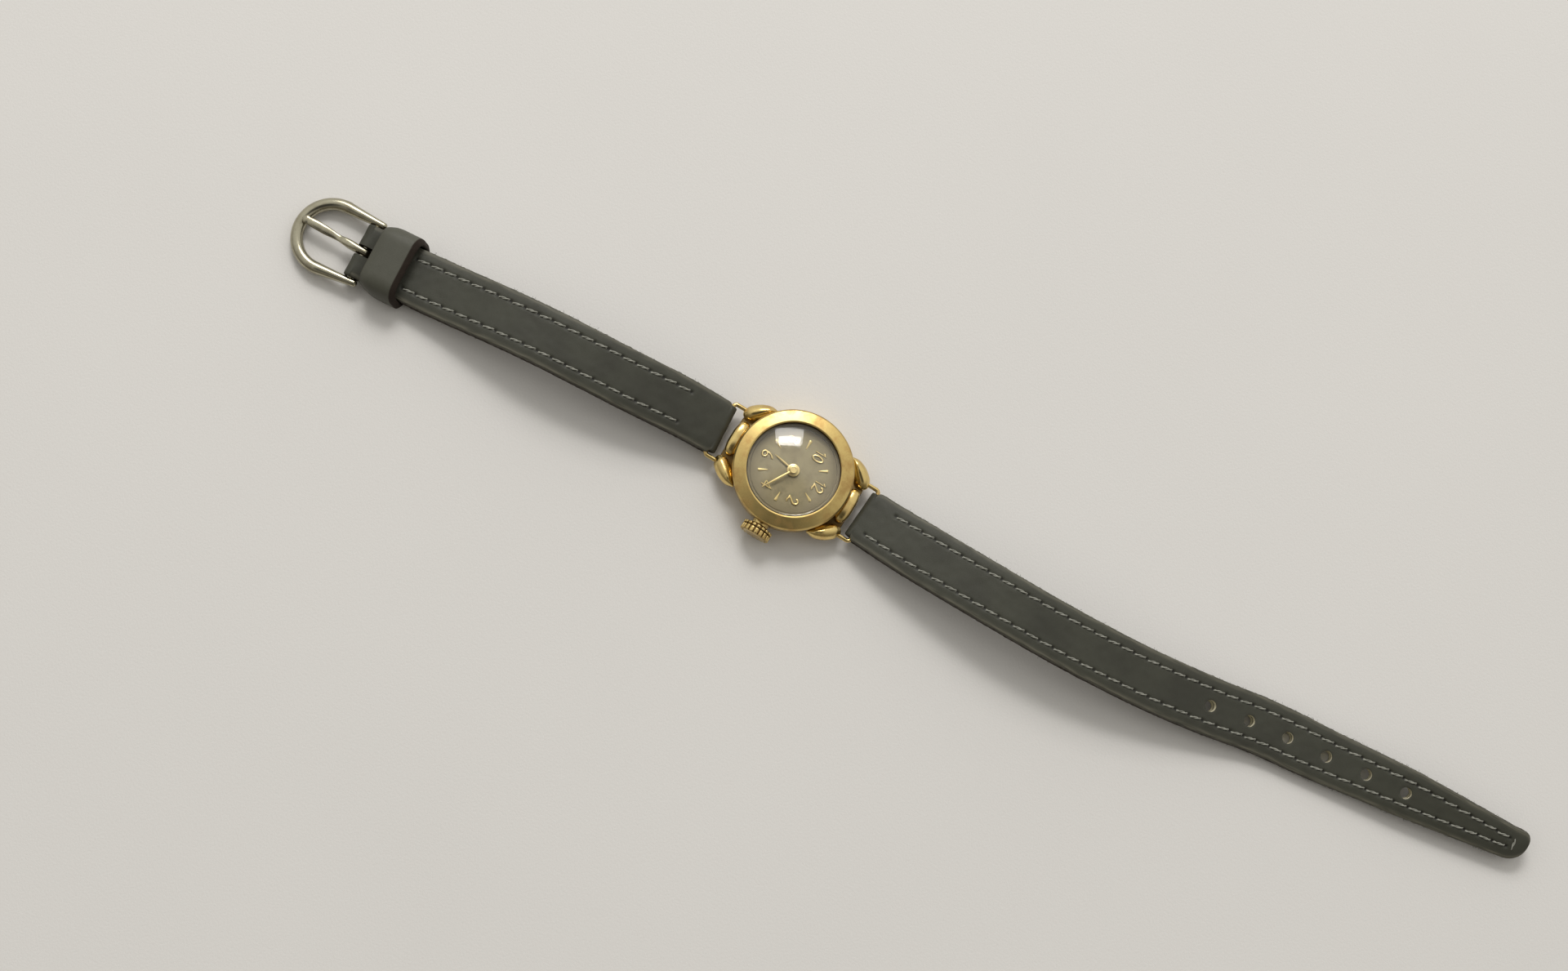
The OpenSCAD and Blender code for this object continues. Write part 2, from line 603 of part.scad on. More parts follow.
module digit_six() {
    r = 0.22 * dh;
    ring2([0, r + ds / 2 - dh / 2], r);
    translate([dh * 0.38, r + ds / 2 - dh / 2]) arc2(dh * 0.38 + r, 125, 182);
}
module digit_eight() {
    r = 0.22 * dh;
    q = 0.17 * dh;
    ring2([0, r + ds / 2 - dh / 2], r);
    ring2([0, dh / 2 - q - ds / 2], q);
}
module digit_zero() {
    r = 0.19 * dh;
    straight = dh / 2 - r - ds / 2;
    for (s = [-1, 1]) {
        translate([0, s * straight]) rotate(s > 0 ? 0 : 180) arc2(r, 0, 180);
        bar2([s * r, -straight], [s * r, straight]);
    }
}
module numeral(hour) {
    pair = 0.3 * dh;
    if (hour == 12) { translate([-pair, 0]) digit_one(); translate([pair * 0.8, 0]) digit_two(); }
    if (hour == 10) { translate([-pair, 0]) digit_one(); translate([pair * 0.8, 0]) digit_zero(); }
    if (hour == 2) digit_two();
    if (hour == 4) digit_four();
    if (hour == 6) digit_six();
    if (hour == 8) digit_eight();
}
module dial_numerals() color(GOLD)
    for (hour = [2:2:12]) translate([numeral_ring_r * sin(hour * 30), numeral_ring_r * cos(hour * 30), dial_z1])
        linear_extrude(applied_t) numeral(hour);
module dial_markers() color(GOLD)
    for (hour = [1:2:11]) rotate(-hour * 30) translate([0, numeral_ring_r, dial_z1]) linear_extrude(applied_t)
        polygon([[-marker_w * 0.16, -marker_l / 2], [marker_w * 0.16, -marker_l / 2],
            [marker_w / 2, marker_l / 2], [-marker_w / 2, marker_l / 2]]);
module hand(z, length, tail, hub, hole, turn) color(GOLD) translate([0, 0, z]) rotate(-turn) difference() {
    union() {
        linear_extrude(hand_t) polygon([[-hand_w * 0.4, -tail], [hand_w * 0.4, -tail], [hand_w / 2, length * 0.55],
            [hand_w * 0.15, length], [-hand_w * 0.15, length], [-hand_w / 2, length * 0.55]]);
        cylinder(h = hand_t, r = hub, $fn = 48);
    }
    translate([0, 0, -past]) cylinder(h = hand_t + 2 * past, r = hole, $fn = 48);
}
module hour_hand() hand(hour_hand_z, hour_hand_l, 0, hour_hub_r, hour_pipe_r, hour_angle);
module minute_hand() hand(minute_hand_z, minute_hand_l, 0, minute_hub_r, cannon_r, minute_angle);
module cannon_pinion() color(STEEL) difference() {
    union() {
        disc(centre_at, motion_z0, cannon_top - motion_z0, cannon_r, 48);
        gear(centre_at, motion_z0, wheel_t, motion_module, cannon_teeth, minute_dir);
    }
    disc(centre_at, motion_z0 - past, cannon_top - motion_z0 - 0.1 + past, centre_arbor_r + run, 24);
}
module minute_wheel() color(BRASS) difference() {
    union() {
        gear(minute_at, motion_z0, 0.12, motion_module, minute_teeth, gap_turn(minute_dir, minute_teeth));
        gear(minute_at, motion_z0, hour_wheel_z0 + hour_wheel_t - motion_z0, hour_module, minute_pinion_teeth, minute_dir + 180);
    }
    disc(minute_at, motion_z0 - past, 1 + past, arbor_r + run, 24);
}
module hour_wheel() color(BRASS) difference() {
    union() {
        gear(centre_at, hour_wheel_z0, hour_wheel_t, hour_module, hour_teeth, minute_dir + 180 / hour_teeth);
        disc(centre_at, hour_wheel_z0, hour_hand_z + hand_t - hour_wheel_z0, hour_pipe_r, 48);
    }
    disc(centre_at, hour_wheel_z0 - past, 2 + past, cannon_r + run, 48);
}

// Crown and winding work
module crown() color(GOLD) translate([0, 0, stem_z]) difference() {
    translate([crown_x0, 0, 0]) rotate([0, 90, 0]) rotate_extrude($fn = smooth_fn) polygon([
        [0, 0], [crown_d / 2 - 0.12, 0], [crown_d / 2, 0.12], [crown_d / 2, crown_l - 0.25],
        [crown_d / 2 - 0.3, crown_l - 0.05], [crown_d / 2 - 0.6, crown_l], [0, crown_l]]);
    rod_x(crown_x0 - past, crown_x0 + crown_socket, tube_r + room);
    rod_x(crown_x0 - past, crown_x1 - 0.3, stem_r);
    for (i = [0:crown_flutes - 1]) rotate([i * 360 / crown_flutes, 0, 0])
        translate([crown_x0 - past, 0, crown_d / 2 + flute_r * 0.25]) rotate([0, 90, 0])
            cylinder(h = crown_l + 2 * past, r = flute_r, $fn = 16);
}
module winding_stem() color(STEEL) translate([0, 0, stem_z]) difference() {
    rod_x(stem_x0, crown_x1 - 0.3, stem_r, 32);
    difference() {
        rod_x(lever_x, lever_x + lever_groove, stem_r + past, 32);
        rod_x(lever_x - past, lever_x + lever_groove + past, stem_r * 0.6, 32);
    }
}
module setting_lever() color(STEEL) {
    lever_z = stem_z - stem_r - room - lever_t;
    translate([lever_x - room, -lever_w / 2, lever_z]) cube([lever_groove + 2 * room, lever_w, lever_t]);
    translate([lever_x + lever_groove / 2, 0, lever_z])
        cylinder(h = lever_t + room + stem_r * 0.4 - run, r = lever_groove / 2 - run, $fn = 24);
}
module stem_gear(x0, l, tip_r, teeth) translate([x0, 0, stem_z]) rotate([0, 90, 0]) difference() {
    linear_extrude(l) polygon(gear_points(2 * tip_r / (teeth + 2 * addendum), teeth));
    translate([0, 0, -past]) cylinder(h = l + 2 * past, r = stem_r + run, $fn = 32);
}
module winding_pinion() color(STEEL)
    stem_gear(winding_pinion_x, winding_pinion_l, winding_pinion_r, winding_pinion_teeth);
module sliding_pinion() color(STEEL)
    stem_gear(sliding_pinion_x, sliding_pinion_l, sliding_pinion_r, winding_pinion_teeth);
face_tooth_l = 0.28;
face_tooth_w = 0.16;
face_tooth_h = 0.2;
module crown_wheel() color(STEEL) difference() {
    union() {
        gear(crown_wheel_at, ratchet_z0, ratchet_t, winding_module, crown_teeth, winding_dir + 180);
        for (i = [0:crown_teeth - 1]) translate([crown_wheel_at.x, crown_wheel_at.y, ratchet_z0])
            rotate((i + 0.5) * 360 / crown_teeth) translate([crown_face_r - face_tooth_l / 2, -face_tooth_w / 2, 0])
                cube([face_tooth_l, face_tooth_w, ratchet_t + face_tooth_h]);
    }
    disc(crown_wheel_at, ratchet_z0 - past, 1 + past, 0.4, 32);
}
module ratchet_wheel() color(STEEL) difference() {
    gear(barrel_at, ratchet_z0, ratchet_t, winding_module, ratchet_teeth, winding_dir + 180 / ratchet_teeth);
    disc(barrel_at, ratchet_z0 - past, 1 + past, 0.3, 4);
}
arbor_hub_r = 0.7;
module barrel_arbor() color(STEEL) {
    disc(barrel_at, bridge_z0, ratchet_z0 - bridge_z0, 0.35, 32);
    disc(barrel_at, ratchet_z0, ratchet_t, 0.3 - fit, 4);
    disc(barrel_at, ratchet_z0 + ratchet_t, barrel_z1 - ratchet_z0 - ratchet_t + 0.3, 0.35, 32);
    disc(barrel_at, barrel_z0 + barrel_wall + 0.05, barrel_z1 - barrel_z0 - 2 * barrel_wall - 0.1, arbor_hub_r, 32);
}
click_dir = 150;
click_at = barrel_at + polar(winding_module * ratchet_teeth / 2 + 0.75, click_dir);
module click() color(STEEL) difference() {
    union() {
        disc(click_at, ratchet_z0, ratchet_t, 0.4, 32);
        translate([click_at.x, click_at.y, ratchet_z0]) rotate(click_dir + 180 + 28) linear_extrude(ratchet_t)
            polygon([[0, -0.35], [0.75, -0.1], [0.72, 0.08], [0, 0.3]]);
    }
    disc(click_at, ratchet_z0 - past, 1 + past, arbor_r * 1.5 + run, 24);
}
module click_spring() color(STEEL) {
    start = click_dir + 40;
    translate([click_at.x, click_at.y, ratchet_z0]) rotate(start) rotate_extrude(angle = 70, $fn = 48)
        translate([0.5, 0]) square([0.08, ratchet_t]);
    disc(click_at + polar(0.54, start + 70), ratchet_z0 - 0.05, ratchet_t + 0.05, 0.12, 24);
}

// Plates and bridges
pivots = [third_at, fourth_at, escape_at];
module sector(from, to, r0, r1) difference() {
    intersection() {
        circle(r = r1, $fn = smooth_fn);
        polygon([[0, 0], for (i = [0:4]) polar(3 * r1, from + (to - from) * i / 4)]);
    }
    circle(r = r0, $fn = smooth_fn);
}
screw_dirs = [22, 138, -48, 262, 232];
screw_r = 0.32;
screw_ring_r = bridge_r - foot_w / 2 - 0.08;
pallet_foot_at = pallet_at + polar(1.15, 240);
screw_at = [polar(screw_ring_r, screw_dirs[0]), polar(screw_ring_r, screw_dirs[1]), polar(screw_ring_r, screw_dirs[2]),
    polar(screw_ring_r, screw_dirs[3]), pallet_foot_at];
screw_z = [bridge_z0, bridge_z0, train_bridge_z0, train_bridge_z0, pallet_bridge_z0];
module screw_hole(i) disc(screw_at[i], screw_z[i] - past, plate_z1 - screw_z[i], screw_r * 0.5 + fit, 24);
module bridge_screws() color(STEEL) for (i = [0:len(screw_at) - 1]) difference() {
    union() {
        disc(screw_at[i], screw_z[i] - 0.12, 0.12, screw_r, 24);
        disc(screw_at[i], screw_z[i] - 0.06, plate_z0 + 0.35 - screw_z[i] + 0.06, screw_r * 0.5, 24);
    }
    translate([screw_at[i].x - screw_r, screw_at[i].y - 0.04, screw_z[i] - past]) cube([2 * screw_r, 0.08, past - 0.06]);
}
module barrel_bridge() color(PLATE) difference() {
    union() {
        translate([0, 0, bridge_z0]) linear_extrude(bridge_t) sector(-28, 150, 0.95, bridge_r);
        for (a = [22, 138]) translate([0, 0, bridge_z0]) linear_extrude(plate_z0 - bridge_z0)
            sector(a - 6, a + 6, bridge_r - foot_w, bridge_r);
        disc(crown_wheel_at, bridge_z0, bridge_t + ratchet_t + 0.05, 0.4 - run, 32);
        disc(click_at, bridge_z0, bridge_t + ratchet_t + 0.05, arbor_r * 1.5, 24);
    }
    disc(barrel_at, bridge_z0 - past, bridge_t + 2 * past, 0.35 + run, 32);
    for (i = [0, 1]) screw_hole(i);
}
module beam(a, b, z0, t, w) {
    d = b - a;
    translate([a.x, a.y, z0]) rotate(atan2(d.y, d.x)) translate([0, -w / 2, 0]) cube([norm(d), w, t]);
}
arm_r = 0.6;
arm_end_r = 0.5;
foot_r = 0.4;
arm_w = 0.86;
module train_bridge() color(PLATE) difference() {
    union() {
        for (at = [centre_at, third_at, fourth_at]) disc(at, train_bridge_z0, train_bridge_t, arm_r, 32);
        disc(escape_at, train_bridge_z0, train_bridge_t, arm_end_r, 32);
        beam(centre_at, third_at, train_bridge_z0, train_bridge_t, 2 * arm_r * arm_w);
        beam(third_at, fourth_at, train_bridge_z0, train_bridge_t, 2 * arm_r * arm_w);
        beam(fourth_at, escape_at, train_bridge_z0, train_bridge_t, 2 * arm_end_r * arm_w);
        beam(third_at, screw_at[2], train_bridge_z0, train_bridge_t, 2 * foot_r * arm_w);
        disc(screw_at[2], train_bridge_z0, plate_z0 - train_bridge_z0, foot_r, 32);
    }
    disc(centre_at, train_bridge_z0 - past, 1 + 2 * past, centre_arbor_r + run, 24);
    for (at = pivots) disc(at, train_bridge_z0 - past, 1 + 2 * past, jewel_r + fit, 32);
    screw_hole(2);
}
pallet_arm_r = 0.38;
module pallet_bridge() color(PLATE) difference() {
    union() {
        disc(pallet_at, pallet_bridge_z0, pallet_bridge_t, pallet_arm_r, 32);
        beam(pallet_at, pallet_foot_at, pallet_bridge_z0, pallet_bridge_t, 2 * pallet_arm_r * arm_w);
        disc(pallet_foot_at, pallet_bridge_z0, plate_z0 - pallet_bridge_z0, pallet_arm_r, 32);
    }
    disc(pallet_at, pallet_bridge_z0 - past, 1 + 2 * past, jewel_r + fit, 32);
    screw_hole(4);
}
module balance_cock() color(PLATE) difference() {
    union() {
        disc(balance_at, train_bridge_z0, cock_t, foot_r, 32);
        beam(balance_at, screw_at[3], train_bridge_z0, cock_t, 2 * foot_r * arm_w);
        disc(screw_at[3], train_bridge_z0, plate_z0 - train_bridge_z0, foot_r, 32);
    }
    disc(balance_at, train_bridge_z0 - past, 1 + 2 * past, jewel_r + fit, 32);
    screw_hole(3);
    // Room for the escape pivot's arm of the train bridge
    beam(fourth_at, escape_at, train_bridge_z0 - past, 1 + past, 2 * (arm_end_r * arm_w + room));
    disc(escape_at, train_bridge_z0 - past, 1 + past, arm_end_r + room, 32);
}
module main_plate() color(PLATE) difference() {
    union() {
        disc(centre_at, plate_z0, plate_t, movement_r, smooth_fn);
        disc(centre_at, plate_z1 - flange_t, flange_t, flange_r, smooth_fn);
        disc(minute_at, plate_z0, hour_wheel_z0 + hour_wheel_t - plate_z0, arbor_r, 24);
        translate([stem_block_x, -0.8, stem_z - 0.75]) cube([0.6, 1.6, plate_z0 - stem_z + 0.75 + fit]);
    }
    disc(centre_at, plate_z0 - past, plate_t + 2 * past, centre_arbor_r + run, 24);
    difference() {
        union() {
            disc(centre_at, recess_z, 1, motion_module * (cannon_teeth / 2 + 2), 48);
            disc(minute_at, recess_z, 1, motion_module * (minute_teeth / 2 + 2), 48);
        }
        disc(minute_at, recess_z - past, 2, arbor_r, 24);
    }
    disc(barrel_at, plate_z0 - past, past + 0.35, 0.35 + run, 32);
    for (at = concat(pivots, [pallet_at, balance_at])) disc(at, plate_z0 - past, 0.3 + past, jewel_r + fit, 32);
    for (at = dial_foot_at) disc(at, plate_z0 - past, plate_t + 2 * past, dial_foot_r + fit, 24);
    for (i = [0:len(screw_at) - 1]) disc(screw_at[i], plate_z0 - past, past + 0.4, screw_r * 0.5 + fit, 24);
    translate([sliding_pinion_x - 0.2, -winding_pinion_r - 0.1, plate_z0 - past])
        cube([lever_x + lever_groove + crown_pull - sliding_pinion_x + 0.4, 2 * winding_pinion_r + 0.2,
            stem_z + winding_pinion_r + 0.05 - plate_z0 + past]);
    translate([0, 0, stem_z]) rod_x(stem_block_x - past, movement_r + past, stem_r + run);
}
// Jewels stand in the plate and in the bridges, one at each end of a pivot
jewel_t = 0.2;
module jewel(at, z0) difference() {
    disc(at, z0, jewel_t, jewel_r, 32);
    disc(at, z0 - past, jewel_t + 2 * past, pivot_r + run, 24);
}
module jewels() color(RUBY) {
    for (at = concat(pivots, [pallet_at, balance_at])) jewel(at, plate_z0);
    for (at = pivots) jewel(at, train_bridge_z1 - jewel_t);
    jewel(pallet_at, pallet_bridge_z0);
    jewel(balance_at, train_bridge_z0 + 0.05);
}

// Going train
barrel_r = barrel_module * barrel_teeth / 2;
drum_r = barrel_r - 0.12;
module barrel_drum() color(BRASS) difference() {
    union() {
        disc(barrel_at, barrel_z0, barrel_z1 - barrel_z0 - barrel_wall, drum_r, smooth_fn);
        gear(barrel_at, barrel_z1 - barrel_gear_t - barrel_wall, barrel_gear_t, barrel_module, barrel_teeth, barrel_dir + 180);
    }
    disc(barrel_at, barrel_z0 + barrel_wall, 2, drum_r - barrel_wall, smooth_fn);
    disc(barrel_at, barrel_z0 - past, 2, 0.35 + run, 32);
}
module barrel_cover() color(BRASS) difference() {
    disc(barrel_at, barrel_z1 - barrel_wall, barrel_wall, drum_r, smooth_fn);
    disc(barrel_at, barrel_z1 - past, 2, 0.35 + run, 32);
}
module mainspring() color(STEEL)
    spiral(barrel_at, barrel_z0 + barrel_wall + 0.04, barrel_z1 - barrel_z0 - 2 * barrel_wall - 0.08, 0.06,
        arbor_hub_r + run, drum_r - barrel_wall - 0.08, mainspring_turns);
module arbor(at, z0, z1, r) {
    disc(at, z0, z1 - z0, pivot_r, 24);
    disc(at, z0 + 0.25, z1 - z0 - 0.5, r, 24);
}
pivot_low = train_bridge_z1 - jewel_t;
pivot_high = plate_z0 + jewel_t;
module center_wheel() color(BRASS) {
    spoked_wheel(centre_at, centre_z0, wheel_t, centre_module, centre_teeth, third_dir, 0.35);
    gear(centre_at, barrel_z1 - barrel_gear_t - barrel_wall, centre_z0 - barrel_z1 + barrel_gear_t + barrel_wall,
        barrel_module, centre_pinion_teeth, gap_turn(barrel_dir + 180, centre_pinion_teeth));
    disc(centre_at, train_bridge_z0, motion_z0 + 1 - train_bridge_z0, centre_arbor_r, 24);
}
module third_wheel() color(BRASS) {
    spoked_wheel(third_at, third_z0, wheel_t, third_module, third_teeth, fourth_dir, 0.3);
    gear(third_at, centre_z0 - 0.05, wheel_t + 0.08, centre_module, third_pinion_teeth, gap_turn(third_dir, third_pinion_teeth));
    arbor(third_at, pivot_low, pivot_high, arbor_r);
}
module fourth_wheel() color(BRASS) {
    spoked_wheel(fourth_at, fourth_z0, wheel_t, fourth_module, fourth_teeth, escape_dir, 0.25);
    gear(fourth_at, third_z0 - 0.05, wheel_t + 0.1, third_module, fourth_pinion_teeth, gap_turn(fourth_dir, fourth_pinion_teeth));
    arbor(fourth_at, pivot_low, pivot_high, arbor_r);
}
module escape_wheel() color(STEEL) {
    translate([escape_at.x, escape_at.y, escape_z0]) difference() {
        linear_extrude(wheel_t) polygon([for (i = [0:escape_teeth - 1], k = [0:2])
            polar(escape_r * [0.72, 1, 0.78][k], (i + [0.1, 0.5, 0.6][k]) * 360 / escape_teeth)]);
        for (a = [45:90:315]) rotate(a) translate([0, 0, -past]) intersection() {
            cylinder(h = 1 + past, r = escape_r * 0.58, $fn = 32);
            translate([0.1, 0.1, 0]) cube([1, 1, 2]);
        }
    }
    gear(escape_at, fourth_z0 - 0.05, wheel_t + 0.1, fourth_module, escape_pinion_teeth, gap_turn(escape_dir, escape_pinion_teeth));
    arbor(escape_at, pivot_low, pivot_high, arbor_r * 0.9);
}
module pallet_fork() color(STEEL) {
    z = escape_z0;
    translate([pallet_at.x, pallet_at.y, z]) {
        rotate(balance_dir) linear_extrude(wheel_t) {
            translate([0, -0.07]) square([fork_l - 0.15, 0.14]);
            polygon([[fork_l - 0.25, -0.12], [fork_l - 0.25, 0.12], [fork_l, 0.16], [fork_l, 0.08], [fork_l - 0.14, 0.06],
                [fork_l - 0.14, -0.06], [fork_l, -0.08], [fork_l, -0.16]]);
        }
        for (s = [-1, 1]) rotate(pallet_dir + 180 + s * 50) linear_extrude(wheel_t)
            polygon([for (p = [[0, -0.12], [0.62, -0.08], [0.72, -0.22], [0.8, -0.2], [0.72, 0.1], [0, 0.12]]) [p.x, s * p.y]]);
        translate([0, 0, pallet_bridge_z0 + 0.02 - z]) cylinder(h = pivot_high - pallet_bridge_z0 - 0.02, r = pivot_r, $fn = 24);
    }
}
module balance_wheel() color(BRASS) {
    difference() {
        disc(balance_at, balance_z0, balance_t, balance_r, smooth_fn);
        disc(balance_at, balance_z0 - past, 1 + past, balance_r - 0.22, smooth_fn);
    }
    for (a = [20, 110]) translate([balance_at.x, balance_at.y, balance_z0 + 0.05]) rotate(a)
        translate([-balance_r + 0.1, -0.09, 0]) cube([2 * balance_r - 0.2, 0.18, 0.1]);
    disc(balance_at, train_bridge_z0 + 0.05, pivot_high - train_bridge_z0 - 0.05, pivot_r, 24);
    disc(balance_at, hairspring_z0 - 0.04, escape_z0 - 0.05 - hairspring_z0, 0.16, 24);
    disc(balance_at, escape_z0 - 0.2, 0.1, roller_r, 32);
    disc(balance_at + polar(roller_r - 0.06, balance_dir + 180), escape_z0 - 0.15, 0.3, 0.05, 16);
}
module hairspring() color([0.25, 0.32, 0.5])
    spiral(balance_at, hairspring_z0, 0.12, 0.03, 0.16 + fit, 1.05, hairspring_turns);

// Straps
module wire_loop_of_leather(sy) translate([0, sy * bar_y, bar_z]) {
    rod_x(-wire_loop_w / 2, wire_loop_w / 2, loop_r, 48);
    translate([-wire_loop_w / 2, sy > 0 ? 0 : -end_s + bar_y - room, -loop_r * 0.9])
        cube([wire_loop_w, end_s - bar_y + room, loop_r * 1.8]);
}
module wire_bore(sy) translate([0, sy * bar_y, bar_z]) rod_x(-strap_w, strap_w, wire_d / 2 + 2 * run, 32);
module buckle_holes() for (i = [0:hole_count - 1]) on_path(long_path, 1, first_hole + i * hole_pitch)
    cylinder(h = 4 * layer_t, r = hole_d / 2, center = true, $fn = 32);
module long_strap_top() color(LEATHER) difference() {
    union() {
        layer(long_path, 1, long_stations, long_width, layer_t);
        wire_loop_of_leather(1);
    }
    wire_bore(1);
    buckle_holes();
}
module long_strap_lining() color(LINING) difference() {
    layer(long_path, 1, long_lining_stations, long_width, -layer_t);
    buckle_holes();
}
module stitch() translate([-thread_d / 2, -stitch_l / 2, layer_t - thread_d * 0.45])
    cube([thread_d, stitch_l, thread_d]);
module stitch_row(path, side, from, to, widths) {
    count = floor((to - from) / stitch_pitch);
    for (i = [0:count - 1]) let (s = from + (i + 0.5) * stitch_pitch)
        on_path(path, side, s) for (e = [-1, 1])
            translate([e * max(lookup(s, widths) / 2 - stitch_inset, 0.5), 0, 0]) stitch();
}
module long_strap_stitching() color(THREAD) {
    stitch_row(long_path, 1, stitch_start, tip_s - tip_round, long_width);
    on_path(long_path, 1, tip_s - tip_round + thread_d) rotate(90) stitch();
}
module short_strap_stitching() color(THREAD)
    stitch_row(short_path, -1, stitch_start, buckle_s - keeper_gap - keeper_l, short_width);
module buckle_place() translate([buckle_x, -buckle_s, buckle_z]) rotate(buckle_turn) children();
module tongue_notch() buckle_place() translate([-notch_w / 2, -2 * buckle_loop_r, -2 * buckle_loop_r])
    cube([notch_w, 2 * buckle_loop_r + 1.15, 4 * buckle_loop_r]);
module buckle_bore() buckle_place() rod_x(-strap_w, strap_w, buckle_bar_d / 2 + run, 32);
module short_strap_top() color(LEATHER) difference() {
    union() {
        layer(short_path, -1, short_stations, short_width, layer_t);
        wire_loop_of_leather(-1);
        buckle_place() rod_x(fit - strap_end_w / 2, strap_end_w / 2 - fit, buckle_loop_r, 48);
    }
    wire_bore(-1);
    buckle_bore();
    tongue_notch();
}
module short_strap_lining() color(LINING) difference() {
    layer(short_path, -1, short_lining_stations, short_width, -layer_t);
    tongue_notch();
}

// Keeper: a band of leather round the strap, cut at a slant at both ends
keeper_in_w = strap_w + 2 * room;
keeper_in_h = 2 * layer_t + keeper_room + room;
keeper_r = 0.5;
module round_box(w, h, l, r) rotate([-90, 0, 0]) linear_extrude(l) union() {
    square([w - 2 * r, h], center = true);
    square([w, h - 2 * r], center = true);
    for (sx = [-1, 1], sz = [-1, 1]) translate([sx * (w / 2 - r), sz * (h / 2 - r)]) circle(r = r, $fn = 32);
}
module keeper() color(LEATHER) {
    reach = keeper_l + 6;
    mid_h = keeper_in_h / 2 - layer_t - room / 2;
    top_h = mid_h + keeper_in_h / 2 + keeper_t;
    buckle_place() intersection() {
        difference() {
            translate([0, keeper_gap - 1, mid_h]) round_box(keeper_in_w + 2 * keeper_t, keeper_in_h + 2 * keeper_t, reach, keeper_r + keeper_t);
            translate([0, keeper_gap - 1 - past, mid_h]) round_box(keeper_in_w, keeper_in_h, reach + 2 * past, keeper_r);
        }
        rotate([90, 0, 90]) translate([0, 0, -strap_w]) linear_extrude(2 * strap_w) polygon([
            [keeper_gap, top_h], [keeper_gap + keeper_l, top_h],
            [keeper_gap + keeper_l + 2 * top_h * tan(keeper_lean), -top_h], [keeper_gap + 2 * top_h * tan(keeper_lean), -top_h]]);
    }
}

// Buckle: the frame slopes from the bar down to the surface
pin_r = 0.3;
module buckle_slant() buckle_place() rotate([buckle_slope, 0, 0]) children();
bow_r = bow_pitch / 2;
// The bow's arc runs on until it points along the sides, which lean in towards the bar
leg_slant = atan2(bow_reach, bar_pitch / 2) - acos(bow_r / norm([bow_reach, bar_pitch / 2]));
leg_lap = 0.2;
module buckle_side(sx) {
    start = [bow_r * cos(leg_slant) + leg_lap * sin(leg_slant), bow_r * sin(leg_slant) - leg_lap * cos(leg_slant)];
    l = (bow_reach + leg_tail - start.y) / cos(leg_slant);
    r = leg_end_d / 2;
    translate([sx * start.x, start.y - bow_reach, 0]) rotate([-90, 0, sx * leg_slant])
        rotate_extrude($fn = 32) polygon([[0, 0], [bow_d / 2 - fit, 0], for (a = [0:15:75]) [r * cos(a), l + r * sin(a)],
            [0, l + r]]);
}
module buckle_frame() color(NICKEL) buckle_slant() difference() {
    union() {
        translate([0, -bow_reach, 0]) rotate(180 - leg_slant) rotate_extrude(angle = 180 + 2 * leg_slant, $fn = 64)
            translate([bow_r, 0]) circle(r = bow_d / 2, $fn = 32);
        for (sx = [-1, 1]) buckle_side(sx);
    }
    rod_x(-bar_pitch / 2 - pin_r, bar_pitch / 2 + pin_r, pin_r + fit, 24);
}
bar_shoulder = bar_pitch / 2 - leg_end_d / 2 - room;
module buckle_bar() color(NICKEL) buckle_place() {
    rod_x(-bar_shoulder, bar_shoulder, buckle_bar_d / 2, 32);
    rod_x(-bar_pitch / 2 - pin_r + fit, bar_pitch / 2 + pin_r - fit, pin_r, 24);
}
tongue_eye_r = buckle_bar_d / 2 + run + 0.38;
module buckle_tongue() color(NICKEL) {
    bow_top = bow_d / 2 * 1.01 - (bow_reach + bow_pitch / 2) * sin(buckle_slope) + run;
    buckle_place() difference() {
        union() {
            rod_x(-tongue_w / 2, tongue_w / 2, tongue_eye_r, 32);
            rotate(-tongue_turn) rotate([90, 0, 90]) translate([0, 0, -tongue_w / 2]) linear_extrude(tongue_w)
                polygon([[-0.3, tongue_eye_r], [-2.4, tongue_eye_r - 0.1], [-2.6, bow_top + 0.7], [-tongue_l * 0.6, bow_top + 0.75],
                    [-tongue_l + 0.3, bow_top + 0.45], [-tongue_l, bow_top + 0.2], [-tongue_l + 0.05, bow_top],
                    [-bow_reach - 1, bow_top], [-2.6, bow_top - 0.1], [-1, -tongue_eye_r + 0.15], [-0.3, -tongue_eye_r + 0.1]]);
        }
        rod_x(-strap_w, strap_w, buckle_bar_d / 2 + run, 32);
    }
}

case_body();
case_back();
bezel();
crystal();
crown_tube();
wire_loop_12();
wire_loop_6();
dial();
dial_numerals();
dial_markers();
hour_hand();
minute_hand();
crown();
winding_stem();
setting_lever();
winding_pinion();
sliding_pinion();
crown_wheel();
ratchet_wheel();
barrel_arbor();
click();
click_spring();
main_plate();
barrel_bridge();
train_bridge();
pallet_bridge();
balance_cock();
bridge_screws();
jewels();
barrel_drum();
barrel_cover();
mainspring();
center_wheel();
third_wheel();
fourth_wheel();
escape_wheel();
pallet_fork();
balance_wheel();
hairspring();
cannon_pinion();
minute_wheel();
hour_wheel();
long_strap_top();
long_strap_lining();
long_strap_stitching();
short_strap_top();
short_strap_lining();
short_strap_stitching();
keeper();
buckle_frame();
buckle_bar();
buckle_tongue();
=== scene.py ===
"""Looks of a small round-cased wristwatch on a two-piece leather strap.

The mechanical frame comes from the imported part. This script dresses it: finer meshes stand for the
plain solids that can be seen, and every piece gets its finish.
Sizes are millimetres in the part's own frame, and a mesh is scaled to metres when it is made.
"""

import logging
import math
from collections.abc import Sequence
from dataclasses import dataclass, field
from enum import Enum
from typing import Any

import bmesh
import bpy
import numpy as np
from mathutils import Matrix, Vector, noise


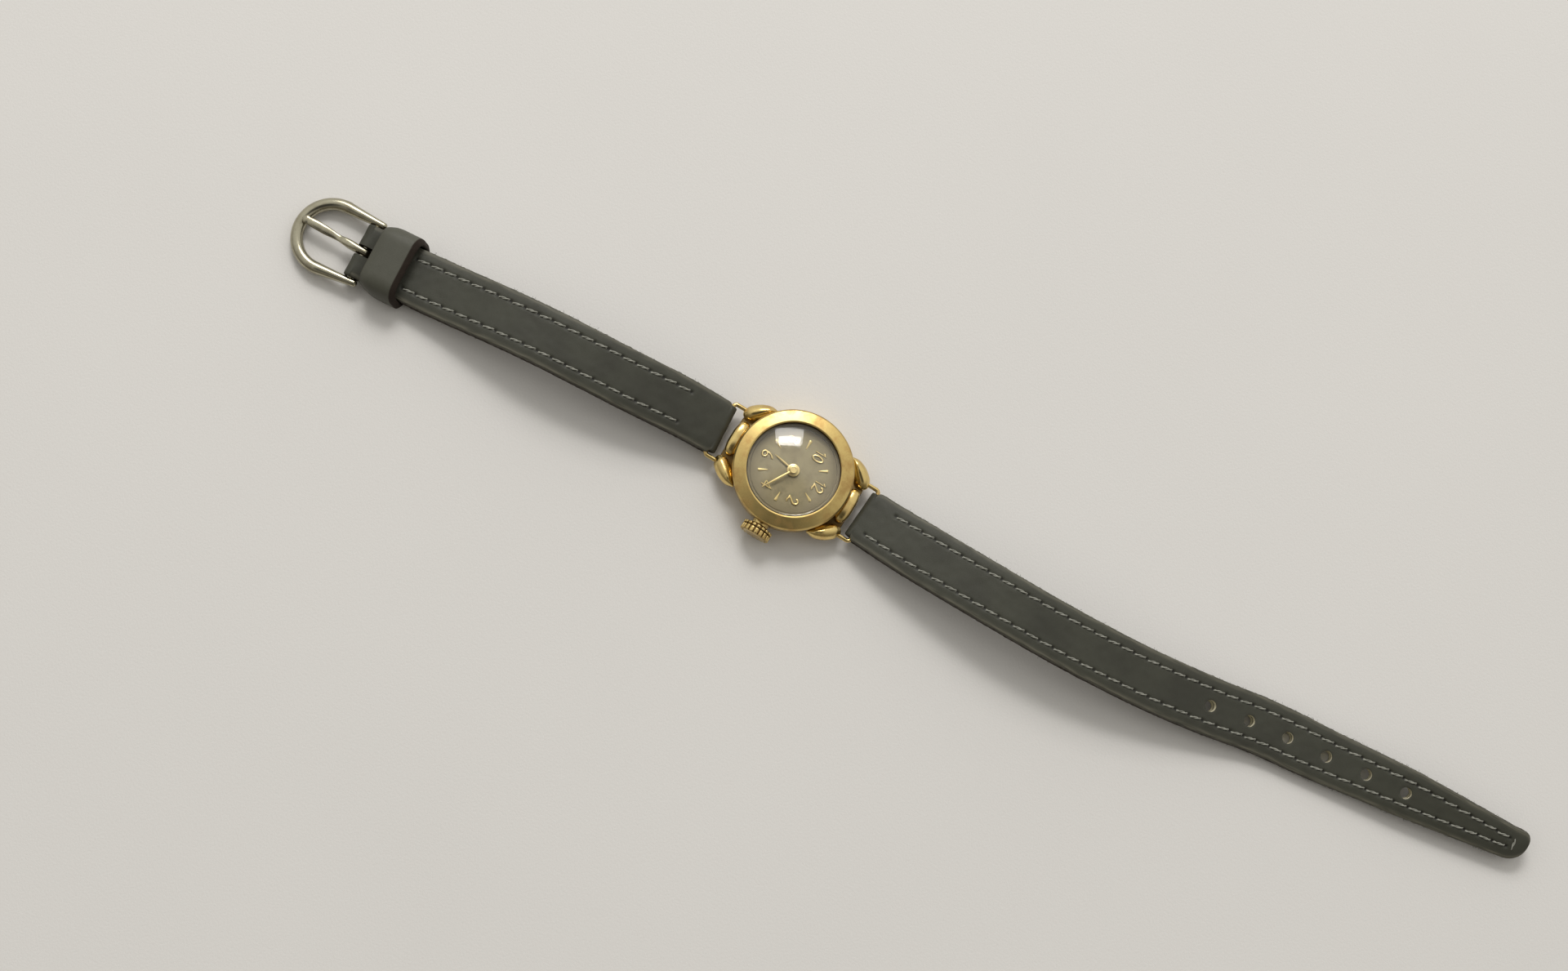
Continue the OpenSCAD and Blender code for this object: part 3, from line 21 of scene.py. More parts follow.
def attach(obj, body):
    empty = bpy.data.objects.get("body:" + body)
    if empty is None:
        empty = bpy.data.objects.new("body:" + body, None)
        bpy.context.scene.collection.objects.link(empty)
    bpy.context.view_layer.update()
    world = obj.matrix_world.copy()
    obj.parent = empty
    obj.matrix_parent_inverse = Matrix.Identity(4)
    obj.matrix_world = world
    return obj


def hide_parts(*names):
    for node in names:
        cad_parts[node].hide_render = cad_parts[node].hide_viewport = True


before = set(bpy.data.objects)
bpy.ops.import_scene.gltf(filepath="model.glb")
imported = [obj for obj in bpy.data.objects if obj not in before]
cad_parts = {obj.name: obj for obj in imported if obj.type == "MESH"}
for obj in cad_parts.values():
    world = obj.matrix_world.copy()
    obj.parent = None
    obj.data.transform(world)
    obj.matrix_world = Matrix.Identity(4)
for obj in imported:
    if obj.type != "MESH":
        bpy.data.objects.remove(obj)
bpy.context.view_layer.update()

Array = np.ndarray
Tree = bpy.types.NodeTree
Node = bpy.types.Node
Socket = bpy.types.NodeSocket
Piece = bpy.types.Object
Pair = tuple[float, float]
Triple = tuple[float, float, float]
MM = 0.001
UP = np.array([0.0, 0.0, 1.0])
log = logging.getLogger("watch")


# Node trees


def fill(node: Node, inputs: dict[Any, Any]) -> Node:
    """Links or sets a node's inputs.

    Args:
        node: the node.
        inputs: for a socket's name or number, the socket to link from or the value to set.

    Returns:
        The same node.
    """
    for key, value in inputs.items():
        if isinstance(value, Socket):
            node.id_data.links.new(value, node.inputs[key])
        else:
            node.inputs[key].default_value = value
    return node


def add(tree: Tree, kind: str, inputs: dict[Any, Any] | None = None, **fields: Any) -> Node:
    """Adds one node to a tree.

    Args:
        tree: the tree that gets the node.
        kind: the node's type name.
        inputs: what its inputs get.
        **fields: the node's own settings.

    Returns:
        The new node.
    """
    node = tree.nodes.new(kind)
    for key, value in fields.items():
        setattr(node, key, value)
    return fill(node, inputs or {})


def home(*values: Any) -> Tree:
    """The tree of the first socket among these values."""
    return next(value for value in values if isinstance(value, Socket)).id_data


def calc(operation: str, *values: Any) -> Socket:
    """Adds a Math node on these sockets or numbers and returns its result."""
    return add(home(*values), "ShaderNodeMath", dict(enumerate(values)), operation=operation).outputs[0]


def times(*values: Any) -> Socket:
    """Multiplies two sockets or numbers and returns the result."""
    return calc("MULTIPLY", *values)


def vector_calc(operation: str, *values: Any) -> Socket:
    """Adds a Vector Math node.

    Args:
        operation: what it does.
        *values: the sockets or vectors that it works on.

    Returns:
        Its result.
    """
    keys = (0, "Scale") if operation == "SCALE" else range(len(values))
    inputs = dict(zip(keys, values))
    node = add(home(*values), "ShaderNodeVectorMath", inputs, operation=operation)
    return node.outputs["Value" if operation in ("LENGTH", "DOT_PRODUCT") else "Vector"]


def ramp(value: Socket, low: float, high: float, top: float = 1.0) -> Socket:
    """Maps low to 0 and high to top with a smooth step and returns the result."""
    inputs = {"Value": value, "From Min": low, "From Max": high, "To Min": 0.0, "To Max": top}
    return add(home(value), "ShaderNodeMapRange", inputs, interpolation_type="SMOOTHSTEP").outputs["Result"]


def blend(amount: Socket, first: Any, second: Any) -> Socket:
    """Mixes two colours, each a socket or three numbers, and returns the result."""
    first, second = (color if isinstance(color, Socket) else (*color, 1.0) for color in (first, second))
    return add(home(amount), "ShaderNodeMix", {0: amount, 6: first, 7: second}, data_type="RGBA").outputs[2]


def cloud(place: Socket, scale: float, detail: float, roughness: float = 0.5) -> Socket:
    """Adds a noise texture at a place and returns its value."""
    inputs = {"Vector": place, "Scale": scale, "Detail": detail, "Roughness": roughness}
    return add(home(place), "ShaderNodeTexNoise", inputs).outputs["Fac"]


def vector(**parts: Any) -> Socket:
    """Joins the parts X, Y and Z into a vector and returns it."""
    return add(home(*parts.values()), "ShaderNodeCombineXYZ", parts).outputs[0]


def part(place: Socket, axis: str) -> Socket:
    """One coordinate of a vector, X, Y or Z."""
    return add(home(place), "ShaderNodeSeparateXYZ", {0: place}).outputs[axis]


def painted(tree: Tree, key: str) -> Socket:
    """The value that is painted on a mesh's points under this name."""
    return add(tree, "ShaderNodeAttribute", attribute_name=key, attribute_type="GEOMETRY").outputs["Fac"]


def new_tree(
    name: str, kind: str, inputs: dict[str, tuple[str, Any]], outputs: dict[str, str],
) -> tuple[Tree, Any, Node]:
    """Makes an empty node group.

    Args:
        name: the group's name.
        kind: ShaderNodeTree or GeometryNodeTree.
        inputs: each input's name with its socket type and its default value.
        outputs: each output's name with its socket type.

    Returns:
        The tree, the sockets of what it is given, and its output node.
    """
    tree = bpy.data.node_groups.new(name, kind)
    for key, (socket_type, value) in inputs.items():
        socket = tree.interface.new_socket(name=key, in_out="INPUT", socket_type="NodeSocket" + socket_type)
        if value is not None:
            socket.default_value = value
    for key, socket_type in outputs.items():
        tree.interface.new_socket(name=key, in_out="OUTPUT", socket_type="NodeSocket" + socket_type)
    return tree, tree.nodes.new("NodeGroupInput").outputs, tree.nodes.new("NodeGroupOutput")


# Effects that several finishes share, each a shader node group over object coordinates in millimetres


class Effect(Enum):
    """The shared shader groups, by name."""

    SCRATCHES = "FineScratches"
    TARNISH = "Tarnish"
    GRAIN = "LeatherGrain"
    TURNING = "TurningLines"


class EffectLibrary:
    """Builds each shared shader group once and places it in materials."""

    def __init__(self) -> None:
        """Starts with no group built."""
        self.groups: dict[Effect, Tree] = {}

    def place(self, tree: Tree, effect: Effect, **values: float) -> Any:
        """Adds one shared group to a material's tree.

        Args:
            tree: the material's tree.
            effect: the group to add.
            **values: the group's inputs.

        Returns:
            What the group puts out, by name.
        """
        if effect not in self.groups:
            self.groups[effect] = getattr(self, "build_" + effect.name.lower())()
        return add(tree, "ShaderNodeGroup", values, node_tree=self.groups[effect]).outputs

    @staticmethod
    def millimetres(tree: Tree) -> Socket:
        """Object coordinates in millimetres."""
        place = add(tree, "ShaderNodeTexCoord").outputs["Object"]
        return vector_calc("SCALE", place, 1 / MM)

    @staticmethod
    def start(effect: Effect, *outputs: str, **values: float) -> tuple[Any, Node, Socket]:
        """Makes an empty group.

        Args:
            effect: the effect that it is for.
            *outputs: the names of its outputs, all plain numbers.
            **values: its inputs, all plain numbers.

        Returns:
            The sockets of what it is given, its output node and its place in millimetres.
        """
        inputs = {key: ("Float", value) for key, value in values.items()}
        made = dict.fromkeys(outputs, "Float")
        tree, given, result = new_tree(effect.value, "ShaderNodeTree", inputs, made)
        return given, result, EffectLibrary.millimetres(tree)

    def build_scratches(self) -> Tree:
        """Thin crossing hairlines, as handling leaves them on polished metal.

        Returns:
            The group.
        """
        given, result, place = self.start(Effect.SCRATCHES, "Height", "Mask", Scale=1.0, Amount=0.5)
        both = None
        for angle, stretch in ((0.5, 0.10), (1.9, 0.16), (2.7, 0.07)):
            lie = {"Vector": place, "Rotation": (0.3, 0.2, angle), "Scale": (9.0, stretch, 4.0)}
            laid = add(home(place), "ShaderNodeMapping", lie).outputs[0]
            hairs = ramp(cloud(vector_calc("SCALE", laid, given["Scale"]), 1.6, 3.0, 0.75), 0.66, 0.76)
            both = hairs if both is None else calc("MAXIMUM", both, hairs)
        mask = times(both, given["Amount"])
        return fill(result, {"Mask": mask, "Height": calc("SUBTRACT", 1.0, mask)}).id_data

    def build_tarnish(self) -> Tree:
        """Cloudy patches with a finer speckle inside them.

        Returns:
            The group.
        """
        given, result, place = self.start(Effect.TARNISH, "Mask", "Speckle", Scale=1.0, Amount=0.5)
        grown = vector_calc("SCALE", place, given["Scale"])
        patch = ramp(cloud(grown, 0.45, 5.0, 0.62), 0.42, 0.68)
        speck = ramp(cloud(grown, 5.5, 3.0, 0.6), 0.5, 0.72)
        shared = calc("ADD", times(patch, 0.75), times(speck, 0.25))
        return fill(result, {"Mask": times(shared, given["Amount"]), "Speckle": speck}).id_data

    def build_grain(self) -> Tree:
        """Small leather cells with creases between them and a broad cloudiness.

        Returns:
            The group.
        """
        given, result, place = self.start(Effect.GRAIN, "Height", "Crease", "Cloud", Cell=0.3, Crease=1.0)
        wander = add(home(place), "ShaderNodeTexNoise", {"Vector": place, "Scale": 2.2, "Detail": 2.0})
        bent = vector_calc("ADD", place, vector_calc("SCALE", wander.outputs["Color"], 0.25))
        spread = {"Vector": bent, "Scale": calc("DIVIDE", 1.0, given["Cell"])}
        cells = add(home(place), "ShaderNodeTexVoronoi", spread, feature="DISTANCE_TO_EDGE")
        depth = times(ramp(cells.outputs["Distance"], 0.16, 0.0), given["Crease"])
        raised = calc("SUBTRACT", times(cloud(place, 9.0, 3.0, 0.6), 0.5), depth)
        outputs = {"Height": raised, "Crease": depth, "Cloud": cloud(place, 0.16, 4.0, 0.6)}
        return fill(result, outputs).id_data

    def build_turning(self) -> Tree:
        """Fine rings round the case's axis, as a lathe or a brush leaves them.

        Returns:
            The group.
        """
        given, result, place = self.start(Effect.TURNING, "Height", "Sweep", Lines=14.0, Drift=0.6)
        flat = vector_calc("MULTIPLY", place, (1.0, 1.0, 0.0))
        heading = vector_calc("SCALE", vector_calc("NORMALIZE", flat), given["Drift"])
        rings = vector(Z=times(vector_calc("LENGTH", flat), given["Lines"]))
        lines = cloud(vector_calc("ADD", heading, rings), 1.0, 4.0, 0.7)
        return fill(result, {"Height": lines, "Sweep": cloud(heading, 2.5, 2.0)}).id_data


effects = EffectLibrary()


# Finishes


@dataclass(frozen=True)
class Finish:
    """One surface finish. A kind of finish fills in inputs()."""

    name: str

    def material(self) -> bpy.types.Material:
        """Makes the material the first time that it is asked for.

        Returns:
            The material.
        """
        made = bpy.data.materials.get(self.name)
        if made is None:
            made = bpy.data.materials.new(self.name)
            made.use_nodes = True
            fill(made.node_tree.nodes["Principled BSDF"], self.inputs(made.node_tree))
        return made

    def inputs(self, tree: Tree) -> dict[str, Any]:
        """What the inputs of this tree's Principled BSDF get."""
        raise NotImplementedError

    @staticmethod
    def bump(height: Socket, depth: float) -> Socket:
        """The normal for a height that is 0 to 1 and depth millimetres deep."""
        inputs = {"Height": height, "Strength": 1.0, "Distance": depth * MM}
        return add(home(height), "ShaderNodeBump", inputs).outputs[0]


@dataclass(frozen=True)
class PlatedMetal(Finish):
    """Polished or softly brushed plate, with hairlines, worn patches, and painted shade with some grime in
    its hollows and on its steep sides.
    """

    color: Triple
    worn: Triple
    # The dark brown that the painted shade and grime blend the colour to.
    dirt: Triple = (0.09, 0.05, 0.02)
    roughness: float = 0.2
    tarnish: float = 0.35
    scratch: float = 0.35
    scratch_depth: float = 0.002
    lines: float = 0.0
    line_depth: float = 0.003
    # How much painted shade darkens the sides that face away from straight up.
    dirty_sides: float = 0.0

    def inputs(self, tree: Tree) -> dict[str, Any]:
        """Colour and gloss follow the tarnish and the painted shade and grime, and the normal follows the
        lines and hairlines.

        Args:
            tree: the material's tree.

        Returns:
            The shader's inputs.
        """
        patches = effects.place(tree, Effect.TARNISH, Amount=self.tarnish)
        hairs = effects.place(tree, Effect.SCRATCHES, Amount=self.scratch)
        color = blend(patches["Mask"], self.color, self.worn)
        # Painted shade: hollows, gaps and steep sides are darkened towards a dark brown, with some real grime
        # in the hollows.
        grime = painted(tree, "grime")
        if self.dirty_sides:
            facing = part(add(tree, "ShaderNodeNewGeometry").outputs["Normal"], "Z")
            grime = calc("MAXIMUM", grime, ramp(facing, 0.88, 0.4, self.dirty_sides))
        rough = calc("MULTIPLY_ADD", patches["Mask"], 0.25, self.roughness)
        rough = calc("MULTIPLY_ADD", grime, 0.3, rough)
        rough = calc("MULTIPLY_ADD", hairs["Mask"], 0.12, rough)
        height = times(hairs["Height"], self.scratch_depth)
        if self.lines:
            rings = effects.place(tree, Effect.TURNING, Lines=self.lines)
            height = calc("MULTIPLY_ADD", rings["Height"], self.line_depth, height)
            rough = calc("MULTIPLY_ADD", rings["Sweep"], 0.12, rough)
        return {
            "Base Color": blend(grime, color, self.dirt), "Metallic": 1.0, "Roughness": rough,
            "Normal": self.bump(height, 1.0),
        }


@dataclass(frozen=True)
class SilveredDial(Finish):
    """A matt silvered plate with grey foxing, and painted shade that darkens it towards its rim."""

    color: Triple
    aged: Triple
    radius: float = 6.8

    def inputs(self, tree: Tree) -> dict[str, Any]:
        """Fine grain, foxing and painted shade towards the rim.

        Args:
            tree: the material's tree.

        Returns:
            The shader's inputs.
        """
        place = effects.millimetres(tree)
        radius = vector_calc("LENGTH", vector_calc("MULTIPLY", place, (1.0, 1.0, 0.0)))
        # Painted shade: the rim under the bezel is darkened towards the second colour.
        rim = times(ramp(radius, self.radius * 0.55, self.radius), 0.65)
        spots = times(effects.place(tree, Effect.TARNISH, Scale=1.6, Amount=0.8)["Mask"], 0.6)
        color = blend(calc("MAXIMUM", rim, spots), self.color, self.aged)
        grain = self.bump(cloud(place, 16.0, 3.0), 0.008)
        return {"Base Color": color, "Metallic": 0.35, "Roughness": 0.48, "Normal": grain}


@dataclass(frozen=True)
class ClearAcrylic(Finish):
    """A clear domed crystal. Shadow rays pass it, so that the dial below is lit."""

    ior: float = 1.47

    def inputs(self, tree: Tree) -> dict[str, Any]:
        """Clear glass with faint hairlines in its normal.

        Args:
            tree: the material's tree.

        Returns:
            The shader's inputs.
        """
        clear = add(tree, "ShaderNodeBsdfTransparent").outputs[0]
        shadow = add(tree, "ShaderNodeLightPath").outputs["Is Shadow Ray"]
        shaders = {0: shadow, 1: tree.nodes["Principled BSDF"].outputs[0], 2: clear}
        mix = add(tree, "ShaderNodeMixShader", shaders).outputs[0]
        fill(tree.nodes["Material Output"], {"Surface": mix})
        hairs = effects.place(tree, Effect.SCRATCHES, Scale=0.8, Amount=0.35)
        return {
            "Base Color": (1.0, 1.0, 0.99, 1.0), "Transmission Weight": 1.0, "Roughness": 0.0,
            "IOR": self.ior, "Normal": self.bump(hairs["Height"], 0.0008),
        }


@dataclass(frozen=True)
class Ruby(Finish):
    """A polished synthetic ruby bearing."""

    def inputs(self, tree: Tree) -> dict[str, Any]:
        """Deep red with slightly uneven colour under a clear gloss.

        Args:
            tree: the material's tree.

        Returns:
            The shader's inputs.
        """
        patches = effects.place(tree, Effect.TARNISH, Scale=5.0, Amount=0.6)
        color = blend(patches["Mask"], (0.42, 0.01, 0.06), (0.62, 0.04, 0.12))
        normal = self.bump(patches["Speckle"], 0.001)
        return {"Base Color": color, "Roughness": 0.06, "Coat Weight": 0.6, "Normal": normal}


@dataclass(frozen=True)
class Leather(Finish):
    """Dyed leather. Painted values give it painted shade in its needle pits, bare cut edges, rubbed wear, and
    painted light on the walls of its holes.
    """

    color: Triple
    shade: Triple
    raw: Triple = (0.032, 0.022, 0.014)
    rub: Triple = (0.17, 0.16, 0.12)
    # Painted light: the pale colour of the hole walls stands in for their lit side and the paper beneath.
    hole: Triple = (0.72, 0.68, 0.52)
    # Painted shade in the needle pits.
    pit: Triple = (0.012, 0.011, 0.009)
    roughness: float = 0.48
    cell: float = 0.17
    depth: float = 0.008

    def inputs(self, tree: Tree) -> dict[str, Any]:
        """Grain in the normal, clouded dye, painted shade in the creases and needle pits, painted light on
        the hole walls and bare cut edges.

        Args:
            tree: the material's tree.

        Returns:
            The shader's inputs.
        """
        grain = effects.place(tree, Effect.GRAIN, Cell=self.cell, Crease=0.8)
        color = blend(ramp(grain["Cloud"], 0.35, 0.7), self.color, self.shade)
        # Painted shade darkens the grain's creases.
        color = blend(times(grain["Crease"], 0.35), color, [c * 0.6 for c in self.color])
        # Each painted value blends in its colour: painted shade in the pits, painted light on the hole walls,
        # and the bare cut edges and rubbed wear.
        for key in ("rub", "raw", "hole", "pit"):
            color = blend(painted(tree, key), color, getattr(self, key))
        rough = calc("MULTIPLY_ADD", grain["Crease"], 0.15, self.roughness)
        rough = calc("MULTIPLY_ADD", painted(tree, "raw"), 0.3, rough)
        return {
            "Base Color": color, "Specular IOR Level": 0.35, "Roughness": rough,
            "Normal": self.bump(grain["Height"], self.depth),
        }


@dataclass(frozen=True)
class WaxedThread(Finish):
    """Sewing thread with a fibrous surface."""

    color: Triple
    soiled: Triple

    def inputs(self, tree: Tree) -> dict[str, Any]:
        """Thread dirt in patches and fine fibres in the normal.

        Args:
            tree: the material's tree.

        Returns:
            The shader's inputs.
        """
        patches = effects.place(tree, Effect.TARNISH, Scale=2.5, Amount=0.9)
        color = blend(patches["Mask"], self.color, self.soiled)
        normal = self.bump(cloud(effects.millimetres(tree), 24.0, 2.0), 0.02)
        return {"Base Color": color, "Roughness": 0.6, "Normal": normal}


@dataclass(frozen=True)
class Paper(Finish):
    """A sheet of plain white paper that the watch lies on."""

    color: Triple = (0.80, 0.785, 0.765)

    def inputs(self, tree: Tree) -> dict[str, Any]:
        """A faint tooth and a faint unevenness of tone.

        Args:
            tree: the material's tree.

        Returns:
            The shader's inputs.
        """
        place = effects.millimetres(tree)
        tone = blend(cloud(place, 0.02, 3.0), self.color, [c * 0.96 for c in self.color])
        tooth = self.bump(cloud(place, 3.0, 5.0, 0.6), 0.03)
        return {"Base Color": tone, "Roughness": 0.85, "Specular IOR Level": 0.1, "Normal": tooth}


class Palette:
    """Every finish in the scene."""

    worn = (0.46, 0.25, 0.09)
    case = PlatedMetal("gold_polished", (0.76, 0.58, 0.235), worn, roughness=0.2, tarnish=0.55)
    bezel = PlatedMetal(
        "gold_brushed", (0.64, 0.48, 0.185), (0.38, 0.205, 0.07),
        roughness=0.26, tarnish=0.75, scratch=0.5, lines=9.0,
    )
    crown = PlatedMetal("gold_crown", (0.70, 0.53, 0.215), worn, roughness=0.24, tarnish=0.4)
    # Painted shade darkens the steep sides of the numerals, wedges and hands.
    applied = PlatedMetal(
        "gold_applied", (0.93, 0.74, 0.34), (0.55, 0.36, 0.14), roughness=0.28, tarnish=0.3, dirty_sides=0.9,
    )
    back = PlatedMetal(
        "gold_back", (0.79, 0.61, 0.27), worn, roughness=0.3, tarnish=0.5, scratch=0.9, lines=6.0,
    )
    nickel = PlatedMetal(
        "nickel_plate", (0.43, 0.405, 0.305), (0.17, 0.14, 0.085), roughness=0.18, tarnish=0.5, scratch=0.5,
    )
    plate = PlatedMetal(
        "gilt_plate", (0.74, 0.64, 0.42), (0.5, 0.4, 0.22), roughness=0.32, tarnish=0.3, lines=5.0,
    )
    brass = PlatedMetal(
        "wheel_brass", (0.75, 0.55, 0.24), (0.5, 0.33, 0.12), roughness=0.24, tarnish=0.3, lines=12.0,
    )
    steel = PlatedMetal(
        "polished_steel", (0.56, 0.56, 0.55), (0.32, 0.31, 0.29), roughness=0.14, tarnish=0.25,
    )
    blued = PlatedMetal("blued_steel", (0.05, 0.09, 0.30), (0.10, 0.07, 0.20), roughness=0.2, tarnish=0.3)
    # The dial's second colour serves both its foxing and the painted shade at its rim.
    dial = SilveredDial("silvered_dial", (0.275, 0.234, 0.134), (0.105, 0.078, 0.04))
    crystal = ClearAcrylic("clear_acrylic")
    ruby = Ruby("ruby")
    leather = Leather("grey_leather", (0.055, 0.056, 0.041), (0.042, 0.042, 0.031))
    # The keeper is the strap's own leather, painted lighter here to stand in for the light that falls on it.
    keeper = Leather(
        "keeper_leather_painted_light", (0.086, 0.086, 0.066), (0.072, 0.072, 0.054), raw=(0.021, 0.013, 0.008),
    )
    lining = Leather("lining_leather", (0.05, 0.045, 0.035), (0.038, 0.033, 0.025), roughness=0.7)
    thread = WaxedThread("grey_thread", (0.33, 0.33, 0.29), (0.19, 0.19, 0.16))
    paper = Paper("white_paper")


# Meshes


@dataclass
class Shell:
    """One closed surface: its points in millimetres, its faces and values painted on its points."""

    points: Array
    faces: list[list[int]]
    paint: dict[str, Array] = field(default_factory=dict)

    def moved(self, matrix: Matrix) -> "Shell":
        """Moves the shell.

        Args:
            matrix: the move.

        Returns:
            The moved shell, with its faces turned over where the move mirrors it.
        """
        points = self.points @ np.array(matrix.to_3x3()).T + np.array(matrix.translation)
        faces = [face[::-1] for face in self.faces] if matrix.determinant() < 0 else self.faces
        return Shell(points, faces, self.paint)


def make_piece(name: str, shells: Sequence[Shell], finish: Finish, sharp: float = 40.0) -> Piece:
    """Makes one object from closed shells.

    Args:
        name: the piece's name.
        shells: its closed surfaces.
        finish: its finish.
        sharp: edges that turn by more than this many degrees stay crisp.

    Returns:
        The new object, at the origin.
    """
    faces, start = [], 0
    for shell in shells:
        faces += [[start + i for i in face] for face in shell.faces]
        start += len(shell.points)
    mesh = bpy.data.meshes.new(name)
    mesh.from_pydata((np.concatenate([shell.points for shell in shells]) * MM).tolist(), [], faces)
    for key in sorted({key for shell in shells for key in shell.paint}):
        values = np.concatenate([shell.paint.get(key, np.zeros(len(shell.points))) for shell in shells])
        mesh.attributes.new(key, "FLOAT", "POINT").data.foreach_set("value", values.astype(np.float32))
    work = bmesh.new()
    work.from_mesh(mesh)
    bmesh.ops.recalc_face_normals(work, faces=work.faces)
    work.to_mesh(mesh)
    work.free()
    mesh.materials.append(finish.material())
    mesh.polygons.foreach_set("use_smooth", np.ones(len(mesh.polygons), bool))
    mesh.set_sharp_from_angle(angle=math.radians(sharp))
    return put_in_scene(name, mesh)


def put_in_scene(name: str, data: Any) -> Piece:
    """Makes an object and links it to the scene.

    Args:
        name: its name.
        data: its mesh, lamp or camera.

    Returns:
        The object.
    """
    made = bpy.data.objects.new(name, data)
    bpy.context.scene.collection.objects.link(made)
    return made


def place_piece(piece: Piece, body: str, slot: str, *nodes: str) -> None:
    """Fixes a piece to its body and hides the solids that it stands for.

    Args:
        piece: the piece.
        body: the body that it rides on.
        slot: the name of its material slot; not used.
        *nodes: the solids that it replaces.
    """
    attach(piece, body)
    if nodes:
        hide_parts(*nodes)
    log.info("%s: %d faces, rides on %s", piece.name, len(piece.data.polygons), body)


def fillet(corners: Sequence[Triple], steps: int = 4) -> Array:
    """Rounds the corners of a closed outline.

    Args:
        corners: x, y and the reach of the rounding along both edges, for each corner.
        steps: segments in each rounded corner.

    Returns:
        The outline's points.
    """
    outline, count = [], len(corners)
    for index, (x, y, reach) in enumerate(corners):
        here = np.array([x, y])
        before, after = (np.array(corners[(index + k) % count][:2]) - here for k in (-1, 1))
        if reach <= 0:
            outline.append(here)
            continue
        first = here + before * min(reach / np.linalg.norm(before), 0.48)
        last = here + after * min(reach / np.linalg.norm(after), 0.48)
        for t in np.linspace(0, 1, steps + 1):
            outline.append((1 - t) ** 2 * first + 2 * t * (1 - t) * here + t**2 * last)
    return np.array(outline)


def arc(x: float, y: float, wide: float, high: float, start: float, end: float, steps: int) -> list[Pair]:
    """Points on an oval about x, y from one angle to another, in degrees."""
    turn = np.radians(np.linspace(start, end, steps))
    return [(x + wide * math.cos(a), y + high * math.sin(a)) for a in turn]


def lathe(outline: Array, steps: int = 144) -> Shell:
    """Turns a closed outline round the Z axis.

    Args:
        outline: radius and height of each point.
        steps: segments in a full turn.

    Returns:
        The turned skin. A point on the axis is made once.
    """
    turn = np.linspace(0, 2 * np.pi, steps, endpoint=False)
    points: list[Triple] = []
    rings: list[list[int]] = []
    for radius, height in outline:
        if radius < 1e-6:
            rings.append([len(points)] * steps)
            points.append((0.0, 0.0, height))
        else:
            rings.append(list(range(len(points), len(points) + steps)))
            points += [(radius * math.cos(a), radius * math.sin(a), height) for a in turn]
    faces = []
    for low, high in zip(rings, rings[1:] + rings[:1]):
        for j in range(steps):
            k = (j + 1) % steps
            face = list(dict.fromkeys((low[j], low[k], high[k], high[j])))
            if len(face) > 2:
                faces.append(face)
    return Shell(np.array(points), faces)


def loft(rings: Array, closed: bool = False) -> Shell:
    """Joins rings of points into a closed skin.

    Args:
        rings: an array of rings, points and coordinates.
        closed: True where the last ring joins the first, False for flat caps at both ends.

    Returns:
        The skin.
    """
    count, size = rings.shape[:2]
    ids = np.arange(count * size).reshape(count, size)
    first = ids if closed else ids[:-1]
    second = np.roll(ids, -1, 0) if closed else ids[1:]
    sides = np.stack([first, np.roll(first, -1, 1), np.roll(second, -1, 1), second], -1)
    faces = sides.reshape(-1, 4).tolist()
    if not closed:
        faces += [ids[0][::-1].tolist(), ids[-1].tolist()]
    return Shell(rings.reshape(-1, 3), faces)


def unit(vectors: Array) -> Array:
    """Vectors scaled to a length of one."""
    return vectors / np.linalg.norm(vectors, axis=-1, keepdims=True)


def sweep(path: Array, radii: Array, sides: int, power: float) -> Shell:
    """Sweeps an upright oval along a path.

    Args:
        path: the path's points.
        radii: half the width and half the height at each point.
        sides: points round the oval.
        power: 2 for an oval, more for a squarer section, less for a pointed one.

    Returns:
        The closed skin, flat at both ends.
    """
    tangent = unit(np.gradient(path, axis=0))
    right = unit(np.cross(tangent, UP))
    over = np.cross(right, tangent)
    turn = np.linspace(0, 2 * np.pi, sides, endpoint=False)
    c, s = np.cos(turn), np.sin(turn)
    wide = np.sign(c) * np.abs(c) ** (2 / power)
    high = np.sign(s) * np.abs(s) ** (2 / power)
    section = right[:, None] * (radii[:, :1] * wide)[..., None]
    section = section + over[:, None] * (radii[:, 1:] * high)[..., None]
    return loft(path[:, None] + section)


def hermite(stations: Array, values: Array, slopes: Array, at: Array) -> Array:
    """Reads a smooth curve that is given by its values and its slopes at some stations.

    Args:
        stations: the rising stations.
        values: one value or one row of values at each station.
        slopes: how fast the values rise at each station.
        at: where to read the curve.

    Returns:
        The values at these places.
    """
    low = np.clip(np.searchsorted(stations, at, side="right") - 1, 0, len(stations) - 2)
    h = stations[low + 1] - stations[low]
    t = (at - stations[low]) / h
    if values.ndim > 1:
        h, t = h[:, None], t[:, None]
    return (
        (2 * t**3 - 3 * t**2 + 1) * values[low] + (t**3 - 2 * t**2 + t) * h * slopes[low]
        + (3 * t**2 - 2 * t**3) * values[low + 1] + (t**3 - t**2) * h * slopes[low + 1]
    )


def ease(stations: Sequence[float], values: Sequence[Sequence[float]], count: int) -> Array:
    """Rows spread evenly from 0 to 1 that pass smoothly through these values at their stations."""
    spots, table = np.array(stations), np.array(values, float)
    return hermite(spots, table, np.gradient(table, spots, axis=0), np.linspace(0, 1, count))


def soft_step(share: Array) -> Array:
    """A smooth rise from 0 to 1 while the share goes from 0 to 1."""
    share = np.clip(share, 0, 1)
    return share**2 * (3 - 2 * share)


def turned(degrees: float, axis: str = "Z") -> Matrix:
    """A turn about one of the axes."""
    return Matrix.Rotation(math.radians(degrees), 4, axis)


def rough(points: Array, scale: float, seed: float) -> Array:
    """Smooth noise from -1 to 1 at each point."""
    spots = points.reshape(-1, 3) * scale + (seed, 0, 0)
    return np.array([noise.noise(spot) for spot in spots.tolist()]).reshape(points.shape[:-1])


# Geometry node trees


